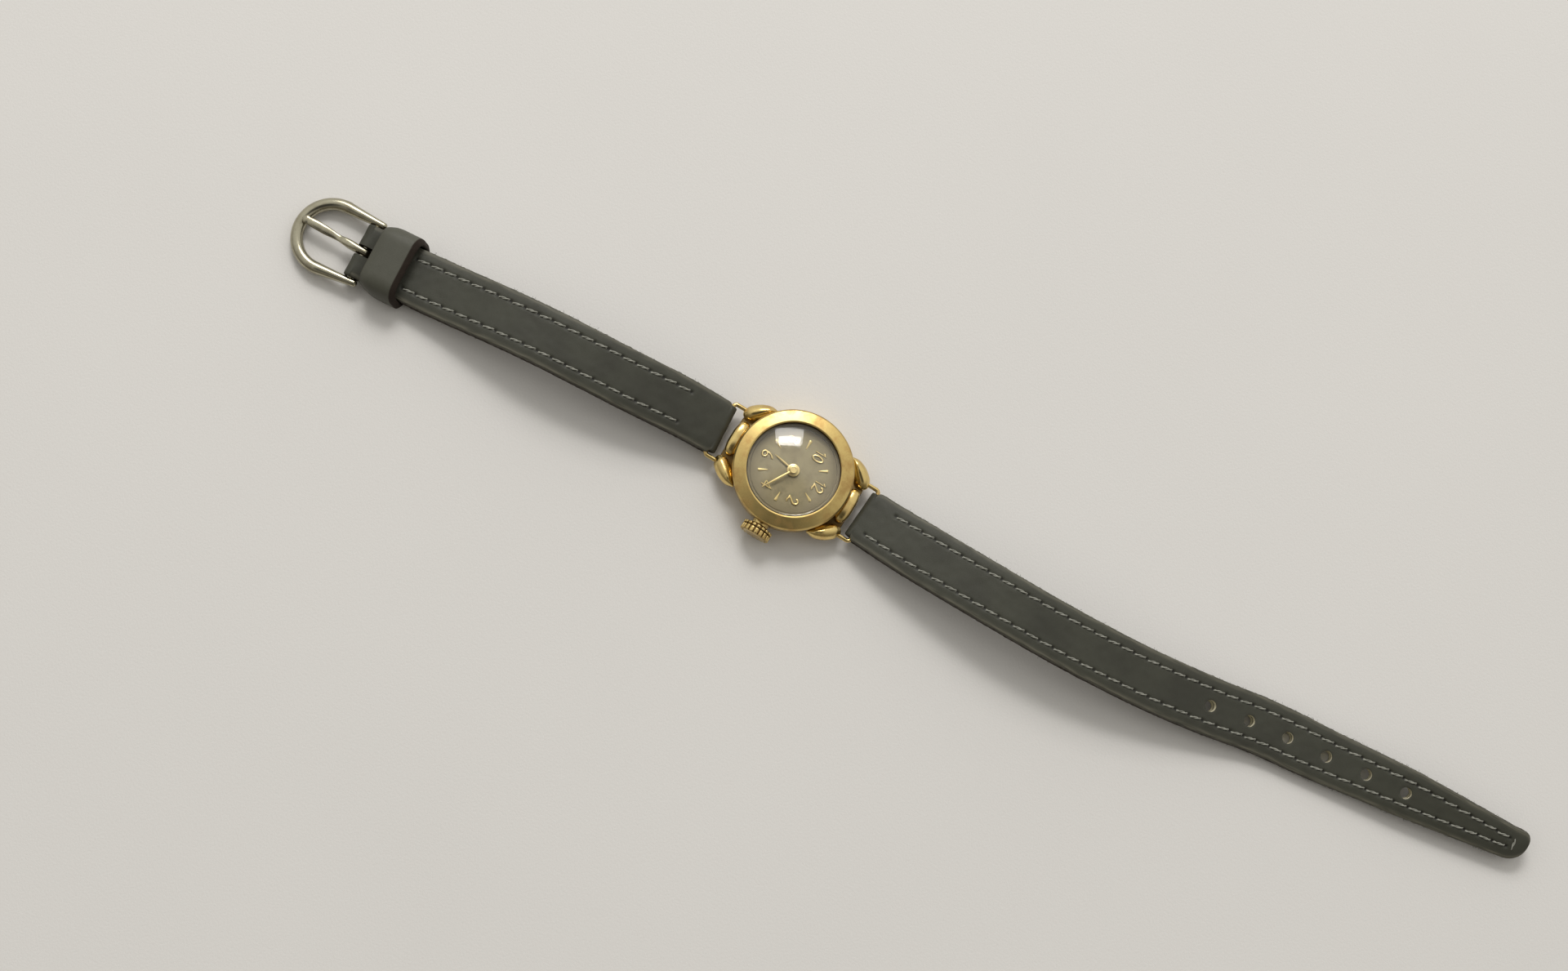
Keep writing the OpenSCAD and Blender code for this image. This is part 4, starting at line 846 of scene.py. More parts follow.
class Grower:
    """Builds each geometry tree once and runs it on small seed meshes."""

    def __init__(self) -> None:
        """Starts with no tree built."""
        self.trees: dict[str, Tree] = {}

    def run(
        self, name: str, tree_name: str, seed: bpy.types.Mesh, finish: Finish, **values: float,
    ) -> Piece:
        """Runs one tree and keeps its result as a plain mesh.

        Args:
            name: the piece's name.
            tree_name: which tree, as in the name of its build method.
            seed: the mesh whose points or edges the tree follows.
            finish: the finish for the result.
            **values: the tree's own inputs.

        Returns:
            The piece, with no modifier on it.
        """
        if tree_name not in self.trees:
            self.trees[tree_name] = getattr(self, "build_" + tree_name)()
        tree = self.trees[tree_name]
        piece = put_in_scene(name, seed)
        modifier = piece.modifiers.new(tree_name, "NODES")
        modifier.node_group = tree
        given = {**values, "Material": finish.material()}
        for item in tree.interface.items_tree:
            if item.in_out == "INPUT" and item.name in given:
                modifier[item.identifier] = given[item.name]
        graph = bpy.context.evaluated_depsgraph_get()
        grown = bpy.data.meshes.new_from_object(
            piece.evaluated_get(graph), preserve_all_data_layers=True, depsgraph=graph,
        )
        piece.modifiers.remove(modifier)
        piece.data = grown
        grown.name = name
        return piece

    @staticmethod
    def start(name: str, **values: float) -> tuple[Tree, Any, Node]:
        """Makes an empty geometry tree.

        Args:
            name: its name.
            **values: the numbers that it takes beside a mesh and a material.

        Returns:
            The tree, the sockets of what it is given, and its output node.
        """
        kinds = {int: "Int", float: "Float"}
        numbers = {key: (kinds[type(value)], value) for key, value in values.items()}
        inputs = {"Geometry": ("Geometry", None), **numbers, "Material": ("Material", None)}
        return new_tree(name, "GeometryNodeTree", inputs, {"Geometry": "Geometry"})

    @staticmethod
    def step(kind: str, inputs: dict[Any, Any], **fields: Any) -> Socket:
        """Adds a node that works on these inputs and returns its first output."""
        return add(home(*inputs.values()), kind, inputs, **fields).outputs[0]

    def close(self, given: Any, result: Node, geometry: Socket) -> Tree:
        """Ends a tree with smooth shading, real geometry and its material.

        Args:
            given: the sockets of what the tree is given.
            result: its output node.
            geometry: what it has made.

        Returns:
            The tree.
        """
        smooth = self.step("GeometryNodeSetShadeSmooth", {"Geometry": geometry})
        real = self.step("GeometryNodeRealizeInstances", {"Geometry": smooth})
        dressed = self.step("GeometryNodeSetMaterial", {"Geometry": real, "Material": given["Material"]})
        return fill(result, {0: dressed}).id_data

    def circle(self, sides: Any, radius: Any) -> Socket:
        """Adds a round profile and returns it."""
        return self.step("GeometryNodeCurvePrimitiveCircle", {"Resolution": sides, "Radius": radius})

    def dense_line(self, start: Any, end: Socket, count: int) -> Socket:
        """Adds a straight curve of count points between two places and returns it."""
        line = self.step("GeometryNodeCurvePrimitiveLine", {"Start": start, "End": end})
        return self.step("GeometryNodeResampleCurve", {"Curve": line, "Count": count})

    def rod(self, curve: Socket, profile: Socket, scale: Any = 1.0) -> Socket:
        """Adds a closed rod with this profile along a curve and returns it."""
        inputs = {"Curve": curve, "Profile Curve": profile, "Scale": scale, "Fill Caps": True}
        return self.step("GeometryNodeCurveToMesh", inputs)

    @staticmethod
    def on_points(tree: Tree, key: str, kind: str) -> Socket:
        """Adds a value that the seed mesh has on its points and returns it."""
        node = add(tree, "GeometryNodeInputNamedAttribute", {"Name": key}, data_type=kind)
        return node.outputs["Attribute"]

    @staticmethod
    def by_chance(kind: str, inputs: dict[Any, Any]) -> Socket:
        """Adds a random value of this kind on each point and returns it."""
        node = add(home(*inputs.values()), "FunctionNodeRandomValue", inputs, data_type=kind)
        return next(socket for socket in node.outputs if socket.enabled)

    def build_round_path(self) -> Tree:
        """A round rod along every chain of edges, as thick as the points' own value says.

        Returns:
            The tree.
        """
        tree, given, result = self.start("RoundPath", Radius=0.0003, Sides=16)
        curve = self.step("GeometryNodeMeshToCurve", {"Mesh": given["Geometry"]})
        radius = times(self.on_points(tree, "thickness", "FLOAT"), given["Radius"])
        return self.close(given, result, self.rod(curve, self.circle(given["Sides"], 1.0), radius))

    def build_stitches(self) -> Tree:
        """A two-ply stitch on every point, lying along it and diving in at both ends.

        Returns:
            The tree.
        """
        tree, given, result = self.start("StitchRun", Length=0.0015, Ply=0.00008, Dive=0.0003, Twist=5000.0)
        ply, half = given["Ply"], times(given["Length"], 0.5)
        line = self.dense_line(vector(Y=times(half, -1.0)), vector(Y=half), 15)
        along = part(add(tree, "GeometryNodeInputPosition").outputs[0], "Y")
        share = calc("ABSOLUTE", calc("DIVIDE", along, half))
        sink = times(calc("POWER", share, 6.0), times(given["Dive"], -1.0))
        turn = times(along, given["Twist"])
        profile = self.circle(7, ply)
        join = add(tree, "GeometryNodeJoinGeometry")
        for phase in (0.0, math.pi):
            angle = calc("ADD", turn, phase)
            lift = calc("MULTIPLY_ADD", calc("SINE", angle), ply, sink)
            offset = vector(X=times(calc("COSINE", angle), ply), Z=lift)
            strand = self.step("GeometryNodeSetPosition", {"Geometry": line, "Offset": offset})
            fill(join, {0: self.rod(strand, profile)})
        return self.put_on_points(given, result, join.outputs[0])

    def build_fibres(self) -> Tree:
        """A short curved hair on some of the points, each turned and sized by chance from a fixed seed.

        Returns:
            The tree.
        """
        _, given, result = self.start("LooseFibres", Length=0.0004, Radius=0.00001, Share=0.5, Seed=3)
        length = given["Length"]
        middle = vector(Y=times(length, 0.6), Z=times(length, 0.05))
        tip = vector(Y=times(length, 0.9), Z=times(length, 0.5))
        inputs = {"Resolution": 4, "Start": (0, 0, 0), "Middle": middle, "End": tip}
        hair = self.step("GeometryNodeCurveQuadraticBezier", inputs)
        thick = self.rod(hair, self.circle(3, given["Radius"]))
        return self.put_on_points(given, result, thick, loose=True)

    def put_on_points(self, given: Any, result: Node, form: Socket, loose: bool = False) -> Tree:
        """Places a form on every point, its Y along the point's along and its Z along its above.

        Args:
            given: the sockets of what the tree is given.
            result: its output node.
            form: the geometry to place.
            loose: True to leave some points out and to turn and size each copy by chance.

        Returns:
            The tree, ended.
        """
        along, above = (self.on_points(home(form), key, "FLOAT_VECTOR") for key in ("along", "above"))
        first = self.step("FunctionNodeAlignEulerToVector", {"Vector": along}, axis="Y")
        inputs = {"Rotation": first, "Vector": above}
        second = self.step("FunctionNodeAlignEulerToVector", inputs, axis="Z", pivot_axis="Y")
        inputs = {"Points": given["Geometry"], "Instance": form, "Rotation": second}
        if loose:
            seed = {"Seed": given["Seed"]}
            inputs["Selection"] = self.by_chance("BOOLEAN", {"Probability": given["Share"], **seed})
            inputs["Scale"] = self.by_chance("FLOAT", {2: 0.4, 3: 1.3, **seed})
        put = self.step("GeometryNodeInstanceOnPoints", inputs)
        if loose:
            swing = self.by_chance("FLOAT_VECTOR", {0: (-0.6, -0.9, -0.9), 1: (0.9, 0.9, 0.9), **seed})
            put = self.step("GeometryNodeRotateInstances", {"Instances": put, "Rotation": swing})
        return self.close(given, result, put)

    def build_ribs(self) -> Tree:
        """Rounded ribs round a ring of points, standing out from the Z axis.

        Returns:
            The tree.
        """
        tree, given, result = self.start("CrownRibs", Length=0.001, Width=0.0004, Height=0.0004)
        width = given["Width"]
        line = self.dense_line((0, 0, 0), vector(Z=given["Length"]), 13)
        where = add(tree, "GeometryNodeSplineParameter").outputs["Factor"]
        far = calc("ABSOLUTE", calc("MULTIPLY_ADD", where, 2.0, -1.0))
        shrink = calc("MULTIPLY_ADD", calc("POWER", far, 8.0), -0.35, 1.0)
        inputs = {"Width": given["Height"], "Height": width}
        profile = self.step("GeometryNodeCurvePrimitiveQuadrilateral", inputs)
        inputs = {"Curve": profile, "Count": 3, "Radius": times(width, 0.28)}
        soft = self.step("GeometryNodeFilletCurve", inputs, mode="POLY")
        return self.put_on_points(given, result, self.rod(line, soft, shrink))


grower = Grower()


def seed_mesh(points: Array, edges: Sequence[tuple[int, int]] = (), **values: Array) -> bpy.types.Mesh:
    """A bare mesh for a geometry tree to follow.

    Args:
        points: the points in millimetres.
        edges: pairs of points.
        **values: a number or a vector on each point, by name.

    Returns:
        The mesh, in metres.
    """
    mesh = bpy.data.meshes.new("seed")
    mesh.from_pydata((points * MM).tolist(), list(edges), [])
    for key, value in values.items():
        kind, target = ("FLOAT_VECTOR", "vector") if value.ndim == 2 else ("FLOAT", "value")
        mesh.attributes.new(key, kind, "POINT").data.foreach_set(target, value.astype(np.float32).ravel())
    return mesh


def seed_paths(paths: Sequence[Array], blunt: float = 1.0, loops: Sequence[bool] = ()) -> bpy.types.Mesh:
    """Chains of edges for a round rod to follow.

    Args:
        paths: each chain's points in millimetres.
        blunt: the rod's thickness at a chain's two ends, as a share of its full thickness.
        loops: for each chain, whether its last point joins its first.

    Returns:
        The mesh, in metres.
    """
    edges, thickness, start = [], [], 0
    for path, closed in zip(paths, loops or [False] * len(paths)):
        size = len(path)
        edges += [(start + i, start + i + 1) for i in range(size - 1)]
        thickness.append(np.ones(size))
        if closed:
            edges.append((start + size - 1, start))
        else:
            thickness[-1][[0, -1]] = blunt
        start += size
    return seed_mesh(np.concatenate(paths), edges, thickness=np.concatenate(thickness))


# Case


@dataclass
class Case:
    """The gilt case: ring with lugs, bezel, crystal and the two strap wires."""

    bore_radius: float = 6.65
    flange_radius: float = 7.0
    radius: float = 8.3
    bottom: float = 0.5
    top: float = 3.9
    bezel_radius: float = 8.5
    bezel_top: float = 5.25
    crystal_radius: float = 6.46
    crystal_wall: float = 0.5
    dome_base: float = 5.0
    dome_height: float = 1.5
    stem_height: float = 2.3
    boss_radius: float = 1.2
    boss_end: float = 8.85
    lug_reach: float = 10.0
    pillow_width: float = 5.4
    bar_distance: float = 11.8
    bar_height: float = 2.2
    wire_diameter: float = 0.6
    wire_pitch: float = 8.3
    wire_bend: float = 0.5

    def ring(self) -> Shell:
        """The case ring with its bore and its seat for the movement's flange.

        Returns:
            Its skin.
        """
        return lathe(fillet([
            (self.bore_radius, self.bottom, 0.05), (self.radius - 0.65, self.bottom, 0.15),
            (self.radius, self.bottom + 0.7, 0.3), (self.radius, self.top - 0.02, 0.1),
            (self.flange_radius, self.top, 0.04), (self.flange_radius, self.top - 0.83, 0.04),
            (self.bore_radius, self.top - 0.83, 0.04),
        ]))

    def boss(self) -> Shell:
        """The short round boss that the crown closes on.

        Returns:
            Its skin.
        """
        outline = fillet([
            (0.76, self.radius - 0.6, 0.02), (self.boss_radius, self.radius - 0.6, 0.02),
            (self.boss_radius, self.boss_end, 0.18), (0.76, self.boss_end, 0.05),
        ])
        return lathe(outline, 64).moved(Matrix.Translation((0, 0, self.stem_height)) @ turned(90, "Y"))

    def claw(self) -> list[Shell]:
        """One claw at positive X and Y: pointed beside the bezel, full and round where the wire enters.

        Returns:
            Its horn and the horn's rounded end.
        """
        rows = ease([0.0, 0.12, 0.35, 0.62, 0.86, 1.0], [
            (6.16, 5.92, 2.90, 0.06, 0.15), (5.88, 6.60, 2.72, 0.58, 0.84),
            (5.34, 7.50, 2.54, 0.98, 1.18), (4.58, 8.48, 2.38, 1.14, 1.18),
            (3.86, 9.34, 2.22, 1.00, 1.00), (3.50, 9.82, 2.16, 0.62, 0.62),
        ], 40)
        horn = sweep(rows[:, :3], rows[:, 3:], sides=36, power=1.7)
        # The end is drawn in like a ball, inside the lug's end face
        end, step = rows[-1], rows[-1, :3] - rows[-2, :3]
        spots = np.array([end[:3] + step * k for k in (0.0, 1.0, 1.8, 2.2)])
        radii = np.array([end[3:] * k for k in (1.0, 0.8, 0.45, 0.1)])
        return [horn, sweep(spots, radii, sides=36, power=1.7)]

    def pillow(self) -> Shell:
        """The loaf between two claws, at positive Y.

        Returns:
            Its skin.
        """
        half = self.pillow_width / 2
        taper = [
            (-half, 8.86, 2.20, 0.10, 0.10), (-half + 0.16, 8.88, 2.23, 0.42, 0.38),
            (-half + 0.55, 8.92, 2.29, 0.74, 0.66), (-half + 1.25, 8.97, 2.34, 0.93, 0.86),
        ]
        crest = (0, 9.0, 2.36, 1.0, 0.94)
        mirrored = [(-row[0], *row[1:]) for row in taper[::-1]]
        rows = ease([0.0, 0.03, 0.1, 0.23, 0.5, 0.77, 0.9, 0.97, 1.0], [*taper, crest, *mirrored], 48)
        return sweep(rows[:, :3], rows[:, 3:], sides=36, power=2.6)

    def floor(self) -> Shell:
        """The plate that ties the claws and the pillow together, at positive Y.

        Returns:
            Its skin, painted with shade and grime.
        """
        low, high = self.bottom + 0.8, self.bar_height - 0.15
        far = self.lug_reach - 0.2
        outline = fillet([(-4.8, 6.6, 0.3), (4.8, 6.6, 0.3), (3.3, far, 0.5), (-3.3, far, 0.5)])
        # The inner edge follows the ring, inside its wall
        ring = np.sqrt(np.maximum((self.radius - 0.5) ** 2 - outline[:, 0] ** 2, 0))
        outline[:, 1] = np.maximum(outline[:, 1], ring)
        middle = outline.mean(0)
        inner = middle + (outline - middle) * 0.96
        rings = [
            np.column_stack([shape, np.full(len(shape), height)])
            for shape, height in ((inner, low), (outline, low + 0.1), (outline, high - 0.1), (inner, high))
        ]
        plate = loft(np.array(rings))
        # Painted shade darkens the plate in the pits between the claws and the pillow.
        plate.paint["grime"] = np.full(len(plate.points), 0.85)
        return plate

    def body(self) -> None:
        """Makes the case ring with its boss and both ends' lugs."""
        shells = [self.ring(), self.boss()]
        for end in (1, -1):
            flip = Matrix.Diagonal((1, end, 1, 1))
            shells += [self.pillow().moved(flip), self.floor().moved(flip)]
            for side in (1, -1):
                shells += [shell.moved(Matrix.Diagonal((side, end, 1, 1))) for shell in self.claw()]
        piece = make_piece("case_ring_and_lugs", shells, Palette.case, sharp=50)
        place_piece(piece, "case", "case_gold", "case_body")

    def bezel(self) -> None:
        """Makes the broad flat ring, with a fine outer step and a bright inner lip."""
        inner = self.crystal_radius + 0.09
        seat, rim, top, foot = inner + 0.35, self.bezel_radius, self.bezel_top, self.top
        outline = fillet([
            (seat, foot, 0.03), (rim, foot, 0.08), (rim, top - 0.64, 0.04), (rim - 0.2, top - 0.36, 0.03),
            (rim - 0.28, top - 0.33, 0.03), (inner + 0.24, top, 0.06), (inner + 0.05, top - 0.03, 0.04),
            (inner, top - 0.14, 0.04), (inner, foot + 0.6, 0.02), (seat, foot + 0.6, 0.02),
        ])
        ring = lathe(outline, 240)
        radius, height = np.hypot(ring.points[:, 0], ring.points[:, 1]), ring.points[:, 2]
        # Painted shade and grime darken the inner wall under the lip, beside the crystal.
        ring.paint["grime"] = ((radius < inner + 0.1) & (height < top - 0.12)).astype(float)
        piece = make_piece("bezel_ring", [ring], Palette.bezel, sharp=50)
        place_piece(piece, "case", "bezel_gold", "bezel")

    def crystal(self) -> None:
        """Makes the domed crystal, hollow under its dome."""
        sphere = (self.crystal_radius**2 + self.dome_height**2) / (2 * self.dome_height)
        centre = self.dome_base + self.dome_height - sphere
        inside, flange = self.crystal_radius - self.crystal_wall, self.crystal_radius + 0.35

        def dome(radius: float, reach: float) -> list[Pair]:
            """Points on a dome of this radius from its rim to its middle."""
            return [(r, centre + math.sqrt(radius**2 - r * r)) for r in np.linspace(reach, 0, 40)]

        outline = [(inside, self.top + 0.2), (flange, self.top + 0.2), (flange, self.top + 0.6)]
        outline += [(self.crystal_radius, self.top + 0.6), *dome(sphere, self.crystal_radius - 0.02)]
        outline += dome(sphere - self.crystal_wall, inside)[::-1]
        piece = make_piece("domed_crystal", [lathe(np.array(outline), 160)], Palette.crystal, sharp=40)
        place_piece(piece, "case", "crystal_acrylic", "crystal")

    def wire(self, end: int) -> None:
        """Makes one strap wire: two legs, two bends and the bar between them.

        Args:
            end: 1 at twelve, -1 at six.
        """
        half, bend = self.wire_pitch / 2, self.wire_bend
        corner = self.bar_distance - bend
        side = [(half, self.lug_reach - 1), (half, corner - 0.4)]
        side += arc(half - bend, corner, bend, bend, 0, 90, 9)
        path = side + [(-x, y) for x, y in side[::-1]]
        points = np.array([(x, end * y, self.bar_height) for x, y in path])
        hour = 12 if end > 0 else 6
        seed, radius = seed_paths([points]), self.wire_diameter / 2 * MM
        wire = grower.run(f"strap_wire_{hour}", "round_path", seed, Palette.case, Radius=radius, Sides=20)
        place_piece(wire, "case", "case_gold", f"wire_loop_{hour}")

    def build(self) -> None:
        """Makes every piece of the case."""
        self.body()
        self.bezel()
        self.crystal()
        for end in (1, -1):
            self.wire(end)


# Dial and hands


@dataclass
class DialWork:
    """The applied numerals and wedges on the dial, and the two hands."""

    surface: float = 3.8
    ring_radius: float = 4.15
    numeral_height: float = 1.66
    figure_pitch: float = 0.52
    stroke: float = 0.32
    raised: float = 0.12
    wedge_length: float = 1.4
    wedge_width: float = 0.42
    hour_height: float = 3.98
    minute_height: float = 4.30
    hour_length: float = 3.3
    minute_length: float = 4.8
    hour_turn: float = 190.0
    minute_turn: float = 120.0
    cannon_radius: float = 0.36

    @staticmethod
    def digit(figure: str) -> list[tuple[list[Pair], bool]]:
        """Draws a figure one unit high about its own middle.

        Args:
            figure: one of the figures that the even hours need.

        Returns:
            Its strokes, each with whether it closes.
        """
        low_left, bend = (-0.27, -0.44), (-0.3, -0.2)
        strokes = {
            "0": [(arc(0, 0, 0.22, 0.45, 0, 348, 26), True)],
            "1": [([(-0.14, 0.27), (-0.02, 0.36), (0.05, 0.47), (0.05, -0.46)], False)],
            "2": [
                ([*arc(-0.01, 0.22, 0.22, 0.24, 185, -35, 14), low_left], False),
                ([low_left, (-0.1, -0.40), (0.12, -0.46), (0.31, -0.40)], False),
            ],
            "4": [([(0.1, -0.48), (0.12, 0.48), bend], False), ([bend, (0.34, -0.2)], False)],
            "6": [
                (arc(0.42, -0.12, 0.66, 0.74, 118, 178, 12), False),
                (arc(0, -0.24, 0.24, 0.21, 0, 345, 20), True),
            ],
            "8": [
                (arc(0, -0.24, 0.25, 0.21, 0, 345, 20), True),
                (arc(0, 0.24, 0.19, 0.18, 0, 345, 18), True),
            ],
        }
        return strokes[figure]

    def numerals(self) -> None:
        """Makes the even hours as rounded, polished strokes."""
        paths, loops = [], []
        for hour in range(2, 13, 2):
            figures, turn = str(hour), math.radians(hour * 30)
            middle = self.ring_radius * np.array([math.sin(turn), math.cos(turn)])
            for index, figure in enumerate(figures):
                shift = (index - 0.5) * self.figure_pitch if len(figures) > 1 else 0.0
                for points, closed in self.digit(figure):
                    flat = (np.array(points) + (shift, 0)) * self.numeral_height + middle
                    paths.append(np.column_stack([flat, np.full(len(flat), self.surface)]))
                    loops.append(closed)
        seed = seed_paths(paths, blunt=0.7, loops=loops)
        radius = self.stroke / 2 * MM
        piece = grower.run("applied_numerals", "round_path", seed, Palette.applied, Radius=radius, Sides=12)
        place_piece(piece, "case", "dial_gold", "dial_numerals")

    @staticmethod
    def blade(stations: Sequence[Triple], base: float) -> Shell:
        """A straight bar along Y with a ridge down its middle.

        Args:
            stations: distance along, half width and ridge height.
            base: the height of its flat underside.

        Returns:
            The bar.
        """
        rings = []
        for y, half, rise in stations:
            ridge = half * 0.12
            low, high = base + rise * 0.45, base + rise
            side = [(half, y, base), (half, y, low), (ridge, y, high)]
            rings.append(side + [(-x, y, z) for x, y, z in side[::-1]])
        return loft(np.array(rings))

    def markers(self) -> None:
        """Makes the odd hours as ridged wedges, broad end outwards."""
        half, wide = self.wedge_length / 2, self.wedge_width / 2
        wedge = self.blade([
            (-half, 0.03, 0.05), (-half + 0.1, 0.055, 0.09), (half - 0.12, wide, self.raised * 1.15),
            (half, wide - 0.03, self.raised * 0.8),
        ], self.surface)
        out = Matrix.Translation((0, self.ring_radius, 0))
        shells = [wedge.moved(turned(-hour * 30) @ out) for hour in range(1, 12, 2)]
        piece = make_piece("applied_wedges", shells, Palette.applied, sharp=18)
        place_piece(piece, "case", "dial_gold", "dial_markers")

    @staticmethod
    def hub(radius: float, bore: float, base: float) -> Shell:
        """A thin domed disc with a bore and a soft rim.

        Args:
            radius: its outer radius.
            bore: the radius of its bore.
            base: the height of its underside.

        Returns:
            The disc.
        """
        rise = 0.14
        return lathe(fillet([
            (bore, base, 0.01), (radius, base, 0.02), (radius, base + rise * 0.7, 0.05),
            (bore + 0.12, base + rise, 0.08), (bore, base + rise, 0.02),
        ]), 72)

    def hand(self, start: float, half: float, length: float, point: float, base: float) -> Shell:
        """The ridged blade of a hand from start to length, half wide to each side, with a taper of point."""
        middle, neck, tip = (length * 0.5, 0.16, 0.13), (length - point, 0.1, 0.1), (length, 0.02, 0.05)
        return self.blade([(start, half, 0.10), middle, neck, tip], base)

    def hour_hand(self) -> None:
        """Makes the hour hand: a broad hub and a slim ridged blade."""
        blade = self.hand(0.6, 0.13, self.hour_length, 0.4, self.hour_height).moved(turned(-self.hour_turn))
        hub = self.hub(0.9, self.cannon_radius + 0.23, self.hour_height)
        piece = make_piece("hour_hand_blade", [blade, hub], Palette.applied, sharp=25)
        place_piece(piece, "hour", "dial_gold", "hour_hand")

    def minute_hand(self) -> None:
        """Makes the minute hand: a smaller hub with a raised collar and a long blade."""
        base, bore = self.minute_height, self.cannon_radius + 0.005
        blade = self.hand(0.4, 0.12, self.minute_length, 0.6, base).moved(turned(-self.minute_turn))
        collar = lathe(fillet([
            (bore, base + 0.05, 0.02), (self.cannon_radius + 0.14, base + 0.05, 0.02),
            (self.cannon_radius + 0.12, base + 0.24, 0.05), (bore, base + 0.24, 0.04),
        ]), 64)
        shells = [blade, self.hub(0.6, bore, base), collar]
        piece = make_piece("minute_hand_blade", shells, Palette.applied, sharp=25)
        place_piece(piece, "minute", "dial_gold", "minute_hand")

    def build(self) -> None:
        """Makes the dial's pieces."""
        self.numerals()
        self.markers()
        self.hour_hand()
        self.minute_hand()


# Crown


@dataclass
class Crown:
    """The fluted crown at three o'clock: a turned core with two rings of ribs."""

    start: float = 9.0
    length: float = 1.4
    diameter: float = 4.4
    stem_height: float = 2.3
    socket_radius: float = 0.85
    socket_depth: float = 0.7
    rib_count: int = 18
    rib_width: float = 0.54
    rib_height: float = 0.34
    split: float = 0.42

    def along_stem(self) -> Matrix:
        """Turns a shape on the Z axis onto the stem."""
        return Matrix.Translation((self.start, 0, self.stem_height)) @ turned(90, "Y")

    def core(self) -> Shell:
        """The turned core with its socket and its domed end.

        Returns:
            Its skin, with painted shade and grime on its outer side between the ribs.
        """
        radius = self.diameter / 2 - 0.24
        core = lathe(fillet([
            (0, self.socket_depth, 0), (self.socket_radius, self.socket_depth, 0.02),
            (self.socket_radius, 0, 0.04), (radius, 0, 0.08), (radius, self.split - 0.03, 0.02),
            (radius - 0.1, self.split, 0.02), (radius - 0.1, self.split + 0.08, 0.02),
            (radius, self.split + 0.1, 0.02), (radius, self.length - 0.14, 0.12),
            (radius - 0.42, self.length, 0.15), (0, self.length, 0),
        ]), 96)
        reach = np.hypot(core.points[:, 0], core.points[:, 1])
        # Painted shade darkens the core's outer side, in the gaps between the ribs.
        core.paint["grime"] = 0.9 * (reach > radius - 0.15)
        return core

    def ribs(self, low: float, high: float) -> Shell:
        """One ring of ribs.

        Args:
            low: where the ribs start, along the stem.
            high: where they end.

        Returns:
            The ribs.
        """
        middle = self.diameter / 2 - self.rib_height / 2
        turn = np.linspace(0, 2 * np.pi, self.rib_count, endpoint=False)
        points = np.stack([middle * np.cos(turn), middle * np.sin(turn), np.full(self.rib_count, low)], -1)
        out = unit(points * (1, 1, 0))
        # A rib's own Y runs round the crown and its Z runs along the stem
        round_it = np.stack([-out[:, 1], out[:, 0], np.zeros(self.rib_count)], -1)
        seed = seed_mesh(points, along=round_it, above=np.tile(UP, (self.rib_count, 1)))
        piece = grower.run(
            "ribs", "ribs", seed, Palette.crown,
            Length=(high - low) * MM, Width=self.rib_width * MM, Height=self.rib_height * MM,
        )
        mesh = piece.data
        shell = Shell(np.array([v.co for v in mesh.vertices]) / MM, [list(p.vertices) for p in mesh.polygons])
        bpy.data.objects.remove(piece)
        return shell

    def build(self) -> None:
        """Makes the crown."""
        inner, outer = self.ribs(0.04, self.split - 0.02), self.ribs(self.split + 0.1, self.length - 0.06)
        shells = [shell.moved(self.along_stem()) for shell in (self.core(), inner, outer)]
        piece = make_piece("fluted_crown", shells, Palette.crown, sharp=35)
        place_piece(piece, "crown", "crown_gold", "crown")


# Strap


@dataclass(frozen=True)
class StrapPath:
    """The smooth line in space that the middle of one strap half follows.

    Each row is the distance from the case centre, then across, height and roll in degrees.
    side is 1 towards twelve and -1 towards six.
    """

    rows: tuple[tuple[float, float, float, float], ...]
    side: int

    def value(self, s: Array, column: int) -> Array:
        """Reads one column of the rows smoothly.

        Args:
            s: distances from the case centre.
            column: which column.

        Returns:
            Its value at each distance.
        """
        rows = np.array(self.rows)
        every = np.arange(len(rows))
        before, after = rows[np.maximum(every - 1, 0)], rows[np.minimum(every + 1, len(rows) - 1)]
        slopes = (after[:, column] - before[:, column]) / (after[:, 0] - before[:, 0])
        return hermite(rows[:, 0], rows[:, column], slopes, s)

    def place(self, s: Array) -> Array:
        """Places at the distances s."""
        return np.stack([self.value(s, 1), self.side * s, self.value(s, 2)], -1)

    def axes(self, s: Array) -> tuple[Array, Array, Array]:
        """The directions across the strap, outwards from the case and up from the strap.

        Args:
            s: distances from the case centre.

        Returns:
            The three unit vectors at each distance.
        """
        step = 0.05
        along = unit(self.side * (self.place(s + step) - self.place(s - step)))
        flat = unit(np.cross(along, UP))
        lift = np.cross(flat, along)
        roll = np.radians(self.value(s, 3))[..., None]
        across = flat * np.cos(roll) - lift * np.sin(roll)
        return across, self.side * along, np.cross(across, along)


@dataclass(frozen=True)
class Turn:
    """The strap's end turned under round a bar.

    at is the bar's distance from the case centre, outside and bore are the leather's outer and inner
    radius round it, and until is where the folded end stops.
    """

    at: float
    outside: float
    bore: float
    until: float


wire_turn = Turn(at=11.8, outside=0.95, bore=0.36, until=12.72)


class StrapEnd(Enum):
    """How the free end of a strap half is finished."""

    TIP = "tip"
    BUCKLE = "buckle"


@dataclass
class Spread:
    """One layer of leather laid out in rows along it and columns across it.

    s and u are each point's distances along and across. kept says which cells are there, rim how close
    a point is to a hole's rim, inset how far it is from the nearer edge, and drop how far the rounded
    edge lies under the face.
    """

    s: Array
    u: Array
    kept: Array
    rim: Array
    inset: Array
    drop: Array

    def hole_paint(self) -> Array:
        """Painted light on the bare leather walls of the holes."""
        return self.rim**2 * (self.rim > 0.9)


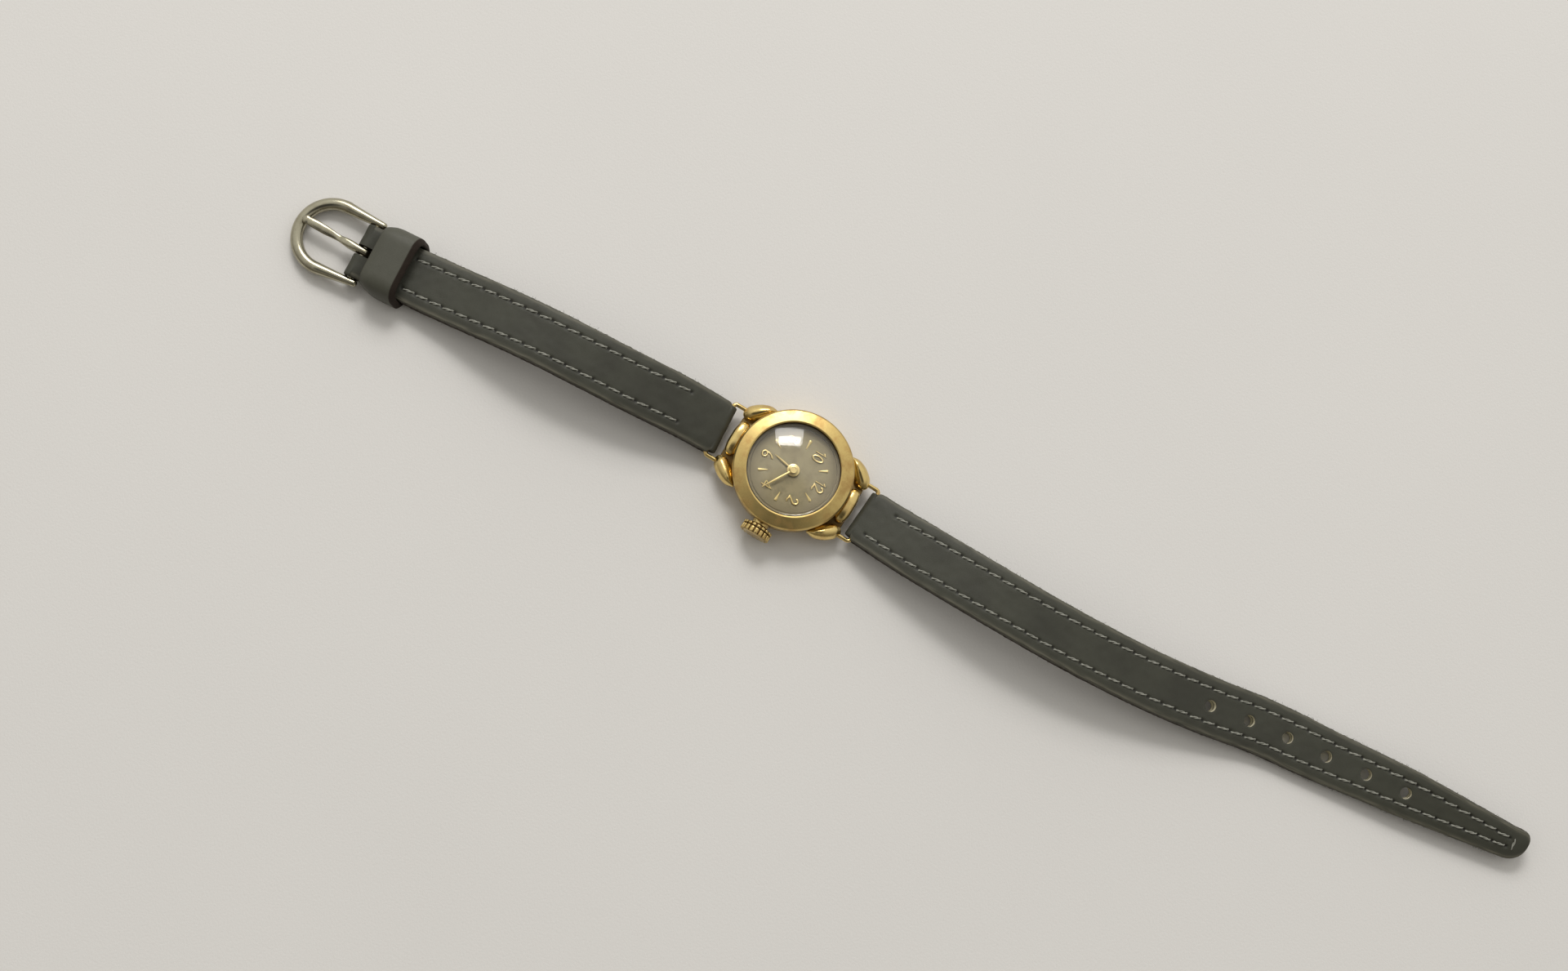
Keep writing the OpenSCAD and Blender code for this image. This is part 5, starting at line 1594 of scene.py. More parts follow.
@dataclass
class StrapHalf:
    """One half of the strap: upper leather, lining, stitches and the fibres at its cut edges."""

    name: str
    path: StrapPath
    widths: tuple[tuple[float, float], ...]
    wire: Turn
    end: StrapEnd
    last: float
    stitched_to: float
    buckle: Turn | None = None
    first_hole: float = 0.0
    hole_count: int = 0
    hole_pitch: float = 6.0
    hole_radius: float = 0.825
    tip_bend: float = 2.7
    tip_corner: float = 1.0
    layer: float = 0.95
    lining_start: float = 12.8
    lining_last: float = 0.0
    wire_width: float = 7.1
    full_from: float = 12.35
    wire_run: float = 1.5
    buckle_run: float = 1.6
    stitch_start: float = 17.6
    stitch_pitch: float = 2.1
    stitch_length: float = 1.8
    stitch_inset: float = 1.75
    stitch_slant: float = 6.0
    early_stitches: tuple[int, int] = (0, 0)
    notch_start: float = 0.0
    notch_half: float = 0.85
    fibres_per_mm: float = 6.0
    row_step: float = 0.2
    fold_step: float = 0.12
    turn_step: float = 6.0
    wall_steps: int = 4
    wall_roughness: float = 0.018
    inner_columns: int = 40
    edge: float = 0.2
    edge_columns: tuple[float, ...] = (0.0, 0.04, 0.1, 0.18, 0.28)

    def width(self, s: Array) -> Array:
        """The strap's width before its tip is cut.

        Args:
            s: distances from the case centre.

        Returns:
            The width at each distance, narrowed to fit between the wire's legs.
        """
        table = np.array(self.widths)
        wide = np.interp(s, table[:, 0], table[:, 1])
        near = np.clip((self.full_from - s) / (self.full_from - self.wire.at), 0, 1)
        return wide - (wide - self.wire_width) * near**2

    def reach(self, s: Array, side: float) -> Array:
        """How far one edge lies from the middle. The tip is cut askew, further back at its right.

        Args:
            s: distances from the case centre.
            side: -1 for the left edge, 1 for the right.

        Returns:
            The distance to the edge at each of them.
        """
        far = self.width(s) / 2
        if self.end is StrapEnd.TIP:
            bend, share = (self.tip_corner, 0.5) if side < 0 else (self.tip_bend, -0.15)
            x = np.clip((s - (self.last - bend)) / bend, 0, 1)
            far = far * (share + (1 - share) * np.sqrt(1 - x**2))
        return far

    def stations(self, start: float, stop: float) -> Array:
        """Distances in step with the holes and closer together at a round tip.

        Args:
            start: the first distance.
            stop: the last distance.

        Returns:
            The distances, rising.
        """
        anchor, step = self.first_hole or start, self.row_step
        inner = anchor + np.arange(math.ceil((start - anchor) / step), (stop - anchor) / step) * step
        rows = [start, *inner[(inner > start + 0.05) & (inner < stop - 0.05)]]
        if self.end is StrapEnd.TIP and stop == self.last:
            first = stop - self.tip_bend
            rows = [s for s in rows if s < first]
            rows += list(first + self.tip_bend * np.sin(np.radians(np.arange(0, 88, 3.0))))
        return np.array([*rows, stop])

    def columns(self, s: Array) -> Array:
        """Lays each row's points out, closer together at both edges.

        Args:
            s: the rows' distances along.

        Returns:
            The distances across, by row and column.
        """
        left, right = -self.reach(s, -1)[:, None], self.reach(s, 1)[:, None]
        inset = np.array(self.edge_columns) * np.minimum((right - left) / 2, 1)
        first, last = left + inset[:, -1:], right - inset[:, -1:]
        inner = first + (last - first) * np.linspace(0, 1, self.inner_columns + 1)
        return np.concatenate([left + inset[:, :-1], inner, right - inset[:, -2::-1]], 1)

    def spread(self, rows: Array) -> Spread:
        """Lays a layer out with its holes open.

        Args:
            rows: the rows' distances along.

        Returns:
            The layer.
        """
        u = self.columns(rows)
        s = np.repeat(rows[:, None], u.shape[1], 1)
        kept, rim = self.open_holes(s, u)
        inset = np.minimum(u - u[:, :1], u[:, -1:] - u)
        edge = self.edge
        drop = edge - np.sqrt(np.maximum(edge**2 - np.maximum(edge - inset, 0) ** 2, 0))
        return Spread(s, u, kept, rim, inset, drop)

    def open_holes(self, s: Array, u: Array) -> tuple[Array, Array]:
        """Bends the rows and columns round each hole, in place.

        Args:
            s: distances along, for each row and column.
            u: distances across.

        Returns:
            Which cells are kept, and how close each point is to a hole's rim, from 0 to 1.
        """
        kept = np.ones((s.shape[0] - 1, s.shape[1] - 1), bool)
        rim = np.zeros(s.shape)
        middle, inside, outside = s.shape[1] // 2, 3, 6
        around = range(-outside, outside + 1)
        for index in range(self.hole_count):
            at = self.first_hole + index * self.hole_pitch
            row = int(np.argmin(np.abs(s[:, 0] - at)))
            for a, b in ((a, b) for a in around for b in around if max(abs(a), abs(b)) >= inside):
                ring = max(abs(a), abs(b)) - inside
                spot = (row + a, middle + b)
                point = np.array([s[spot] - at, u[spot]])
                circle = point / np.linalg.norm(point) * (self.hole_radius + ring * self.row_step)
                share = ring / (outside - inside)
                moved = circle * (1 - share) + point * share
                s[spot], u[spot] = at + moved[0], moved[1]
                rim[spot] = 1 - share
            kept[row - inside : row + inside, middle - inside : middle + inside] = False
        return kept, rim

    def stitch_line(self, s: Array) -> Array:
        """How far the stitch rows lie from the strap's middle."""
        return np.maximum(self.width(s) / 2 - self.stitch_inset, 0.5)

    def stitch_count(self) -> int:
        """Stitches in one row."""
        return math.floor((self.stitched_to - self.stitch_start) / self.stitch_pitch)

    def relief(self, s: Array, u: Array) -> tuple[Array, Array]:
        """The stitches' groove and pits and the fall towards both edges.

        Args:
            s: distances along, for each row and column.
            u: distances across.

        Returns:
            The upper face's change of height, and the painted shade of its needle pits, from 0 to 1.
        """
        off = np.abs(u) - self.stitch_line(s)
        last = self.stitch_start + self.stitch_count() * self.stitch_pitch
        first = self.stitch_start - np.where(u < 0, *self.early_stitches) * self.stitch_pitch
        sewn = np.clip((s - first + 0.4) / 0.4, 0, 1) * np.clip((last + 0.4 - s) / 0.4, 0, 1)
        groove = np.exp(-((off / 0.24) ** 2)) * sewn
        phase = (s - self.stitch_start) / self.stitch_pitch
        away = np.abs(phase - np.round(phase)) * self.stitch_pitch
        pit = np.exp(-(away**2 + off**2) / 0.2**2) * sewn
        height = -0.07 * groove - 0.22 * pit - 0.2 * np.clip(off / 1.7, 0, 1) ** 2
        return height, np.clip(pit * 1.3, 0, 1)

    def slab(self, upper: Array, lower: Array, kept: Array, paint: dict[str, Array], seed: int) -> Shell:
        """Closes an upper and a lower face of kept cells with rough walls.

        Args:
            upper: the upper face's points, by row and column.
            lower: the lower face's points.
            kept: which cells exist.
            paint: values on the upper face's points, which the walls share.
            seed: the seed of the walls' roughness.

        Returns:
            The closed slab.
        """
        rows, columns = upper.shape[:2]
        total = rows * columns
        above, below = upper.reshape(-1, 3), lower.reshape(-1, 3)
        ids = np.arange(total).reshape(rows, columns)
        corners = [ids[:-1, :-1], ids[:-1, 1:], ids[1:, 1:], ids[1:, :-1]]
        top = np.stack(corners, -1)[kept]
        padded = np.pad(kept, 1)
        beside = [padded[:-2, 1:-1], padded[1:-1, 2:], padded[2:, 1:-1], padded[1:-1, :-2]]
        pairs = []
        for k in range(4):
            bare = kept & ~beside[k]
            pairs.append(np.stack([corners[k][bare], corners[(k + 1) % 4][bare]], -1))
        pairs = np.concatenate(pairs)
        rim, ends = np.unique(pairs, return_inverse=True)
        left, right = ends.reshape(pairs.shape).T
        chance = np.random.default_rng(seed)
        high, low = above[rim], below[rim]
        layers, points = [rim], [above, below]
        # The hole walls' painted light goes on the walls only, not on the upper face.
        values = {key: [value.ravel() * (key != "hole"), np.zeros(total)] for key, value in paint.items()}
        values["raw"] = [np.zeros(total), np.zeros(total)]
        for k in range(1, self.wall_steps):
            layers.append(2 * total + (k - 1) * len(rim) + np.arange(len(rim)))
            roughness = chance.normal(0, self.wall_roughness, high.shape)
            points.append(high + (low - high) * k / self.wall_steps + roughness)
            for key in values:
                values[key].append(np.ones(len(rim)) if key == "raw" else paint[key].ravel()[rim])
        layers.append(total + rim)
        faces = [top, top[:, ::-1] + total]
        for first, second in zip(layers, layers[1:]):
            faces.append(np.stack([first[right], first[left], second[left], second[right]], -1))
        every = np.concatenate(faces)
        used, renumbered = np.unique(every, return_inverse=True)
        painting = {key: np.concatenate(value)[used] for key, value in values.items()}
        return Shell(np.concatenate(points)[used], renumbered.reshape(every.shape).tolist(), painting)

    def upper_rows(self) -> tuple[Array, Array, Array]:
        """The rows of the upper leather, from its folded end at the wire to its last end.

        Returns:
            Each row's distance along, its turn about the bar it lies on (0 where the leather is
            straight, pi where it is folded under), and which end it turns at: -1 wire, 1 buckle.
        """
        wire, step = self.wire, self.fold_step
        under = np.arange(wire.until, wire.at + 0.05, -step)
        bend = np.radians(np.arange(180, 2, -self.turn_step))
        straight = self.stations(wire.at, self.last)
        distances = [under, np.full(len(bend), wire.at), straight]
        turns = [np.full(len(under), np.pi), bend, np.zeros(len(straight))]
        ends = [np.full(len(under) + len(bend), -1.0), np.ones(len(straight))]
        if self.buckle is not None:
            after = np.radians(np.arange(self.turn_step, 181, self.turn_step))
            back = np.arange(self.buckle.at - step, self.buckle.until, -step)
            distances += [np.full(len(after), self.buckle.at), back]
            turns += [after, np.full(len(back), np.pi)]
            ends.append(np.ones(len(after) + len(back)))
        return np.concatenate(distances), np.concatenate(turns), np.concatenate(ends)

    def upper_leather(self) -> Shell:
        """The upper leather, turned under round the wire and, on the short half, round the buckle's bar.

        Returns:
            Its skin, painted for its finish.
        """
        rows, phi, way = self.upper_rows()
        grid = self.spread(rows)
        s, u, inset, rim = grid.s, grid.u, grid.inset, grid.rim
        if self.buckle is not None:
            folded = (rows[:-1] >= self.notch_start) & (rows[1:] >= self.notch_start)
            middle = (np.abs(u[:-1, :-1]) < self.notch_half) & (np.abs(u[:-1, 1:]) < self.notch_half)
            grid.kept &= ~(folded[:, None] & middle)
        across, out, above = self.path.axes(s)
        turn = phi[:, None, None]
        normal = above * np.cos(turn) + out * np.sin(turn) * way[:, None, None]
        top, bottom = self.thickness(rows, phi)
        height, pit = self.relief(s, u)
        straight = (phi == 0)[:, None]
        height = height * straight - 0.06 * rim**3
        spine = self.path.place(s)
        face = spine + across * u[..., None]
        wobble = rough(face, 0.9, 3.0) * 0.03
        frayed = rough(face, 2.6, 9.0) * 0.07 + rough(face, 7.0, 4.0) * 0.05
        edges = u + np.sign(u) * (inset < 0.02) * frayed
        spots = spine + across * edges[..., None]
        upper = spots + normal * (top[:, None] - grid.drop + height + wobble)[..., None]
        lower = spots + normal * bottom[:, None, None]
        streak = np.clip(0.6 + rough(np.stack([s * 0.5, inset * 9, s * 0], -1), 1.0, 13.0), 0, 1)
        rub = streak * np.exp(-(((inset - 0.25) / 0.28) ** 2)) * straight
        # Painted shade in the needle pits and painted light on the hole walls; the rub is wear along the
        # edges.
        paint = {"pit": pit * straight, "rub": rub * 0.75, "hole": grid.hole_paint()}
        return self.slab(upper, lower, grid.kept, paint, seed=5)

    def thickness(self, s: Array, phi: Array) -> tuple[Array, Array]:
        """The faces' heights over the path, or over a bar where the leather turns.

        Args:
            s: each row's distance along.
            phi: each row's turn about its bar.

        Returns:
            The upper and the lower face's height in each row.
        """
        bore = self.wire.bore
        top = np.full(len(s), self.layer)
        bottom = bore * soft_step((self.wire.at + self.wire_run - s) / self.wire_run)
        bottom = np.where((phi > 0) & (s < self.wire.at + 2), bore, bottom)
        if self.buckle is not None:
            at, outside, bore = self.buckle.at, self.buckle.outside, self.buckle.bore
            close = soft_step((s - at + self.buckle_run) / self.buckle_run)
            top = top + (outside - self.layer) * close
            bottom = bottom + bore * close
            folded = (phi > 0) & (s > at - 2)
            top = np.where(folded, outside - 0.1 * np.clip(at - s, 0, 1), top)
            bottom = np.where(folded, bore, bottom)
        return top, bottom

    def lining_leather(self) -> Shell:
        """The lining under the upper leather.

        Returns:
            Its skin, painted for its finish.
        """
        grid = self.spread(self.stations(self.lining_start, self.lining_last))
        across, _, above = self.path.axes(grid.s)
        spine = self.path.place(grid.s)
        frayed = rough(spine + across * grid.u[..., None], 2.2, 17.0) * 0.06
        edges = grid.u + np.sign(grid.u) * (grid.inset < 0.02) * frayed
        spots = spine + across * edges[..., None]
        lower = spots + above * (grid.drop - self.layer)[..., None]
        # A hair's breadth keeps the two layers' faces apart
        # The lining's hole walls get painted light too.
        return self.slab(spots - above * 0.004, lower, grid.kept, {"hole": grid.hole_paint()}, seed=6)

    def stitches(self) -> None:
        """Makes both rows of stitches, and one across a round tip."""
        rows = [np.arange(-extra, self.stitch_count()) for extra in self.early_stitches]
        side = np.concatenate([np.full(len(row), sign) for row, sign in zip(rows, (-1.0, 1.0))])
        s = self.stitch_start + (np.concatenate(rows) + 0.5) * self.stitch_pitch
        u = side * self.stitch_line(s)
        slant = np.full(len(s), math.radians(self.stitch_slant))
        if self.end is StrapEnd.TIP:
            s, u = np.append(s, self.stitched_to + 0.3), np.append(u, 0.0)
            slant = np.append(slant, math.pi / 2)
        across, out, above = self.path.axes(s)
        chance = np.random.default_rng(11)
        slant = (slant + chance.normal(0, 0.035, len(slant)))[:, None]
        along = out * self.path.side
        points = self.path.place(s) + across * u[:, None] + above * (self.layer + 0.01)
        seed = seed_mesh(points, along=along * np.cos(slant) - across * np.sin(slant), above=above)
        piece = grower.run(
            self.name + "_thread", "stitches", seed, Palette.thread,
            Length=self.stitch_length * MM, Ply=0.085 * MM, Dive=0.3 * MM, Twist=3300.0,
        )
        place_piece(piece, self.name, "strap_thread", self.name + "_stitching")

    def fibres(self) -> None:
        """Makes loose fibres along both cut edges."""
        start, stop = self.wire.at + self.wire_run, self.stitched_to - 0.5
        chance = np.random.default_rng(23)
        s = np.sort(chance.uniform(start, stop, int((stop - start) * self.fibres_per_mm)))
        side = np.where(chance.random(len(s)) < 0.5, -1.0, 1.0)
        across, _, above = self.path.axes(s)
        height = chance.uniform(-0.5, self.layer - 0.15, len(s))[:, None]
        reach = np.where(side < 0, self.reach(s, -1), self.reach(s, 1))
        points = self.path.place(s) + across * (side * reach)[:, None] + above * height
        seed = seed_mesh(points, along=across * side[:, None], above=above)
        piece = grower.run(
            self.name + "_fibres", "fibres", seed, Palette.leather,
            Length=0.28 * MM, Radius=0.016 * MM, Share=0.6, Seed=7,
        )
        place_piece(piece, self.name, "strap_leather")

    def build(self) -> None:
        """Makes this half's pieces."""
        top = make_piece(self.name + "_upper", [self.upper_leather()], Palette.leather, sharp=60)
        place_piece(top, self.name, "strap_leather", self.name + "_top")
        lining = make_piece(self.name + "_under", [self.lining_leather()], Palette.lining, sharp=60)
        place_piece(lining, self.name, "strap_lining", self.name + "_lining")
        self.stitches()
        self.fibres()


# Keeper and buckle


@dataclass
class BuckleWork:
    """The buckle's frame and tongue, and the leather keeper beside it."""

    bar_x: float = 5.05
    bar_y: float = -66.7
    bar_z: float = 1.92
    turn: float = 5.5
    slope: float = 5.954
    bow_radius: float = 4.83
    bow_thickness: float = 1.74
    bow_reach: float = 5.1
    bar_pitch: float = 9.2
    leg_thickness: float = 1.0
    leg_tail: float = 0.75
    tongue_width: float = 1.15
    tongue_length: float = 9.8
    tongue_turn: float = 4.0
    keeper_length: float = 5.4
    keeper_thickness: float = 0.9
    keeper_inner_width: float = 8.4
    keeper_inner_height: float = 3.7
    keeper_lean: float = 16.0
    keeper_gap: float = 1.3
    layer: float = 0.95

    def place(self) -> Matrix:
        """The bar's own frame: X along the bar, Y towards the case."""
        return Matrix.Translation((self.bar_x, self.bar_y, self.bar_z)) @ turned(self.turn)

    def frame(self) -> None:
        """Makes the D-shaped frame, thick at its bow and slimmer down both sides."""
        half, radius, reach = self.bar_pitch / 2, self.bow_radius, self.bow_reach
        lean = math.atan2(reach, half) - math.acos(radius / math.hypot(reach, half))
        start = np.array([radius * math.cos(lean), radius * math.sin(lean) - reach])
        way = np.array([-math.sin(lean), math.cos(lean)])
        length = (self.leg_tail - start[1]) / math.cos(lean)
        steps = np.linspace(1, 0, 15)[:-1]
        leg = start + np.outer(steps, way) * length
        bend = math.degrees(lean)
        bow = np.array(arc(0, -reach, radius, radius, bend, -180 - bend, 61))
        flat = np.concatenate([leg, bow, leg[::-1] * (-1, 1)])
        path = np.column_stack([flat, np.zeros(len(flat))])
        thick, thin = self.bow_thickness / 2, self.leg_thickness / 2
        taper = thick + (thin - thick) * steps**0.9
        radii = np.concatenate([taper, np.full(len(bow), thick), taper[::-1]])
        # Both free ends are drawn in like a ball
        cap = np.array([0.0, 0.35, 0.68, 0.9])
        head = path[0] + np.outer(np.sqrt(1 - cap**2), np.append(way, 0)) * thin
        path = np.concatenate([head, path, head[::-1] * (-1, 1, 1)])
        rounded = thin * cap + 0.02
        radii = np.concatenate([rounded, radii, rounded[::-1]])
        shell = sweep(path, np.stack([radii, radii * 0.97], -1), sides=32, power=2.15)
        shell = shell.moved(self.place() @ turned(self.slope, "X"))
        piece = make_piece("buckle_bow_and_sides", [shell], Palette.nickel, sharp=60)
        place_piece(piece, "buckle", "buckle_nickel", "buckle_frame")

    def tongue(self) -> None:
        """Makes the tongue: rolled round the bar, then flattened to a blade that rests on the bow."""
        fall = (self.bow_reach + self.bow_radius) * math.sin(math.radians(self.slope))
        rest = self.bow_thickness / 2 * 1.01 - fall + 0.03
        rows = ease([0.0, 0.03, 0.09, 0.2, 0.3, 0.36, 0.42, 0.7, 0.92, 0.985, 1.0], [
            (0.95, 0.08, 0.5, 0.16), (0.84, 0.03, 0.9, 0.5), (0.5, 0.0, 1.0, 0.83),
            (-1.0, 0.06, 1.04, 0.86), (-2.3, 0.2, 1.08, 0.60), (-3.1, 0.24, 0.96, 0.4),
            (-3.6, rest + 0.29, 0.84, 0.27), (-6.4, rest + 0.31, 1.12, 0.27),
            (-8.7, rest + 0.27, 0.98, 0.24), (-9.55, rest + 0.2, 0.76, 0.17),
            (-self.tongue_length, rest + 0.14, 0.3, 0.06),
        ], 90)
        rows[:, 2] *= self.tongue_width / 2
        path = np.stack([np.zeros(len(rows)), rows[:, 0], rows[:, 1]], -1)
        shell = sweep(path, rows[:, 2:], sides=28, power=2.6)
        shell = shell.moved(self.place() @ turned(-self.tongue_turn))
        piece = make_piece("buckle_pin", [shell], Palette.nickel, sharp=60)
        place_piece(piece, "tongue", "buckle_nickel", "buckle_tongue")

    def keeper(self) -> None:
        """Makes the band of leather round the strap, with slanted cut mouths."""
        half = self.keeper_thickness / 2
        middle = self.keeper_inner_height / 2 - self.layer - 0.05
        wide, high = self.keeper_inner_width / 2 + half, self.keeper_inner_height / 2 + half
        coarse = fillet([(wide, -high, 1.3), (wide, high, 2.1), (-wide, high, 2.1), (-wide, -high, 1.3)], 12)
        closed = np.concatenate([coarse, coarse[:1]])
        walked = np.concatenate([[0], np.cumsum(np.linalg.norm(np.diff(closed, axis=0), axis=1))])
        at = np.linspace(0, walked[-1], 181)[:-1]
        ring = np.stack([np.interp(at, walked, closed[:, k]) for k in (0, 1)], -1)
        tangent = unit(np.roll(ring, -1, 0) - np.roll(ring, 1, 0))
        out = np.stack([tangent[:, 1], -tangent[:, 0]], -1)
        section = np.array(self.keeper_section())
        along, raised, raw = section[:, 0], section[:, 1], section[:, 2]
        spots = ring[:, None] + out[:, None] * raised[None, :, None]
        slide = (high + half - spots[..., 1]) * math.tan(math.radians(self.keeper_lean))
        points = np.stack([spots[..., 0], self.keeper_gap + along + slide, spots[..., 1] + middle], -1)
        points[..., 1] += rough(points, 1.2, 31.0) * 0.05 * raw[None]
        shell = loft(points, closed=True)
        shell.paint["raw"] = np.tile(raw, len(ring))
        piece = make_piece("keeper_band", [shell.moved(self.place())], Palette.keeper, sharp=60)
        place_piece(piece, "short_strap", "strap_leather", "keeper")

    def keeper_section(self) -> list[Triple]:
        """Draws the section of the band.

        Returns:
            How far towards the case, how far out, and how raw the leather is.
        """
        half, length = self.keeper_thickness / 2, self.keeper_length
        # Towards the buckle the band is skived thin, so that it lies almost flush on the strap
        outer = [
            (y, half - 0.6 * max(0.0, 1 - y / 2.2) ** 2, 0.0) for y in np.linspace(0.3, length - 0.62, 24)
        ]
        inner = [(y, -half, 0.3) for y in np.linspace(length - 0.25, 0.25, 12)]
        # The mouth towards the case is cut at a slant, so that its thickness shows from above
        mouth = [
            (length - 0.54, half - 0.01, 0.6), (length - 0.48, half - 0.06, 1.0),
            (length - 0.28, 0.13, 1.0), (length - 0.1, -0.1, 1.0), (length - 0.02, -0.3, 1.0),
            (length - 0.06, 0.03 - half, 1.0),
        ]
        back = [
            (0.08, 0.04 - half, 1.0), (0.0, 0.12 - half, 1.0), (0.0, -0.2, 0.9), (0.04, -0.12, 0.5),
            (0.15, -0.06, 0.1),
        ]
        return [*outer, *mouth, *inner, *back]

    def build(self) -> None:
        """Makes the keeper and the buckle's pieces."""
        self.keeper()
        self.frame()
        self.tongue()


# Pieces of the frame that keep their own shape


@dataclass(frozen=True)
class KeptPieces:
    """The frame's own solids that stay, named by the finish that they get."""

    names: tuple[tuple[Finish, str], ...] = (
        (Palette.back, "case_back"),
        (Palette.dial, "dial"),
        (Palette.nickel, "buckle_bar"),
        (Palette.ruby, "jewels"),
        (Palette.blued, "hairspring"),
        (Palette.applied, "cannon_pinion"),
        (Palette.plate, "main_plate barrel_bridge train_bridge pallet_bridge balance_cock"),
        (Palette.brass, "crown_tube barrel_drum barrel_cover center_wheel third_wheel fourth_wheel"),
        (Palette.brass, "balance_wheel minute_wheel hour_wheel"),
        (Palette.steel, "winding_stem setting_lever winding_pinion sliding_pinion crown_wheel"),
        (Palette.steel, "ratchet_wheel barrel_arbor click click_spring bridge_screws mainspring"),
        (Palette.steel, "escape_wheel pallet_fork"),
    )

    def dress(self) -> None:
        """Puts each finish on its solids."""
        for finish, names in self.names:
            for name in names.split():
                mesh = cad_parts[name].data
                mesh.materials.clear()
                mesh.materials.append(finish.material())
                log.info("%s keeps its solid", name)


# Studio


@dataclass(frozen=True)
class Lamp:
    """One rectangular lamp that faces the watch.

    way is its direction from the watch, as shares of the picture's left, its up and straight up from the
    paper. distance and size are in metres, power is in watts.
    """

    name: str
    way: Triple
    distance: float
    size: Pair
    power: float
    color: Triple


@dataclass
class Studio:
    """Paper, window light and the camera of the view from above."""

    target: Triple = (2.65, 0.0, 5.0)
    distance: float = 300.0
    tilt: float = 10.0
    heading: float = 31.5
    lens: float = 50.0
    sensor: float = 36.0
    floor_half: float = 3000.0
    lamps: tuple[Lamp, ...] = (
        Lamp("window", (-0.02, 0.647, 0.762), 1.0, (0.39, 0.2), 2.1, (1.0, 0.985, 0.96)),
        Lamp("soft_side", (-0.02, 0.735, 0.68), 0.9, (0.44, 0.3), 2.0, (1.0, 0.98, 0.955)),
    )
    bright_way: Triple = (-0.2, 0.75, 0.6)
    dark_way: Triple = (0.1, -0.35, 1.0)
    room_low: Triple = (0.16, 0.143, 0.112)
    room_high: Triple = (0.80, 0.785, 0.745)
    room_dark: Triple = (0.065, 0.062, 0.056)
    backdrop: Triple = (0.72, 0.71, 0.70)

    def view_axes(self) -> tuple[Vector, Vector, Vector]:
        """Finds the picture's own directions.

        Returns:
            The picture's right, its up and the direction back to the camera.
        """
        tilt, heading = math.radians(self.tilt), math.radians(self.heading)
        back = Vector((math.sin(tilt), 0, math.cos(tilt)))
        lift = Vector((-math.cos(tilt), 0, math.sin(tilt)))
        right = math.cos(heading) * Vector((0, 1, 0)) + math.sin(heading) * lift
        up = -math.sin(heading) * Vector((0, 1, 0)) + math.cos(heading) * lift
        return right, up, back

    def camera(self) -> None:
        """Sets the camera as the photograph was taken."""
        right, up, back = self.view_axes()
        data = bpy.data.cameras.new("camera")
        data.lens, data.sensor_width = self.lens, self.sensor
        camera = put_in_scene("camera", data)
        turn = Matrix((right, up, back)).transposed().to_4x4()
        place = (Vector(self.target) + back * self.distance) * MM
        camera.matrix_world = Matrix.Translation(place) @ turn
        bpy.context.scene.camera = camera

    def from_picture(self, way: Triple) -> Vector:
        """The direction with these shares of the picture's left, its up and straight up from the paper."""
        right, up = (Vector((axis.x, axis.y, 0)).normalized() for axis in self.view_axes()[:2])
        return (right * -way[0] + up * way[1] + Vector((0, 0, way[2]))).normalized()

    def light(self, lamp: Lamp) -> None:
        """Puts one lamp in the scene, level with the picture.

        Args:
            lamp: the lamp.
        """
        data = bpy.data.lights.new(lamp.name, "AREA")
        data.shape, data.size, data.size_y = "RECTANGLE", *lamp.size
        data.energy, data.color = lamp.power, lamp.color
        right = self.view_axes()[0]
        back = self.from_picture(lamp.way)
        side = (right - back * right.dot(back)).normalized()
        turn = Matrix((side, back.cross(side), back)).transposed().to_4x4()
        put_in_scene(lamp.name, data).matrix_world = Matrix.Translation(back * lamp.distance) @ turn

    def world(self) -> None:
        """A pale room, brighter towards the window and dark above the watch's near side."""
        world = bpy.data.worlds.new("room")
        world.use_nodes = True
        tree = world.node_tree
        way = add(tree, "ShaderNodeTexCoord").outputs["Generated"]
        bright, dark = (
            vector_calc("DOT_PRODUCT", way, tuple(self.from_picture(spot)))
            for spot in (self.bright_way, self.dark_way)
        )
        room = blend(ramp(bright, -0.6, 0.85), self.room_low, self.room_high)
        room = blend(ramp(dark, 0.84, 0.97), room, self.room_dark)
        seen = add(tree, "ShaderNodeLightPath").outputs["Is Camera Ray"]
        color = blend(seen, room, self.backdrop)
        tree.links.new(color, tree.nodes["Background"].inputs["Color"])
        bpy.context.scene.world = world

    def paper(self) -> None:
        """The sheet under the watch."""
        half = self.floor_half
        corners = np.array([(-half, -half, 0), (half, -half, 0), (half, half, 0), (-half, half, 0)], float)
        mesh = bpy.data.meshes.new("paper_sheet")
        mesh.from_pydata((corners * MM).tolist(), [], [[0, 1, 2, 3]])
        mesh.materials.append(Palette.paper.material())
        put_in_scene("paper_sheet", mesh)

    def build(self) -> None:
        """Sets up everything that isn't part of the watch."""
        bpy.context.scene.view_settings.view_transform = "Standard"
        self.paper()
        for lamp in self.lamps:
            self.light(lamp)
        self.world()
        self.camera()


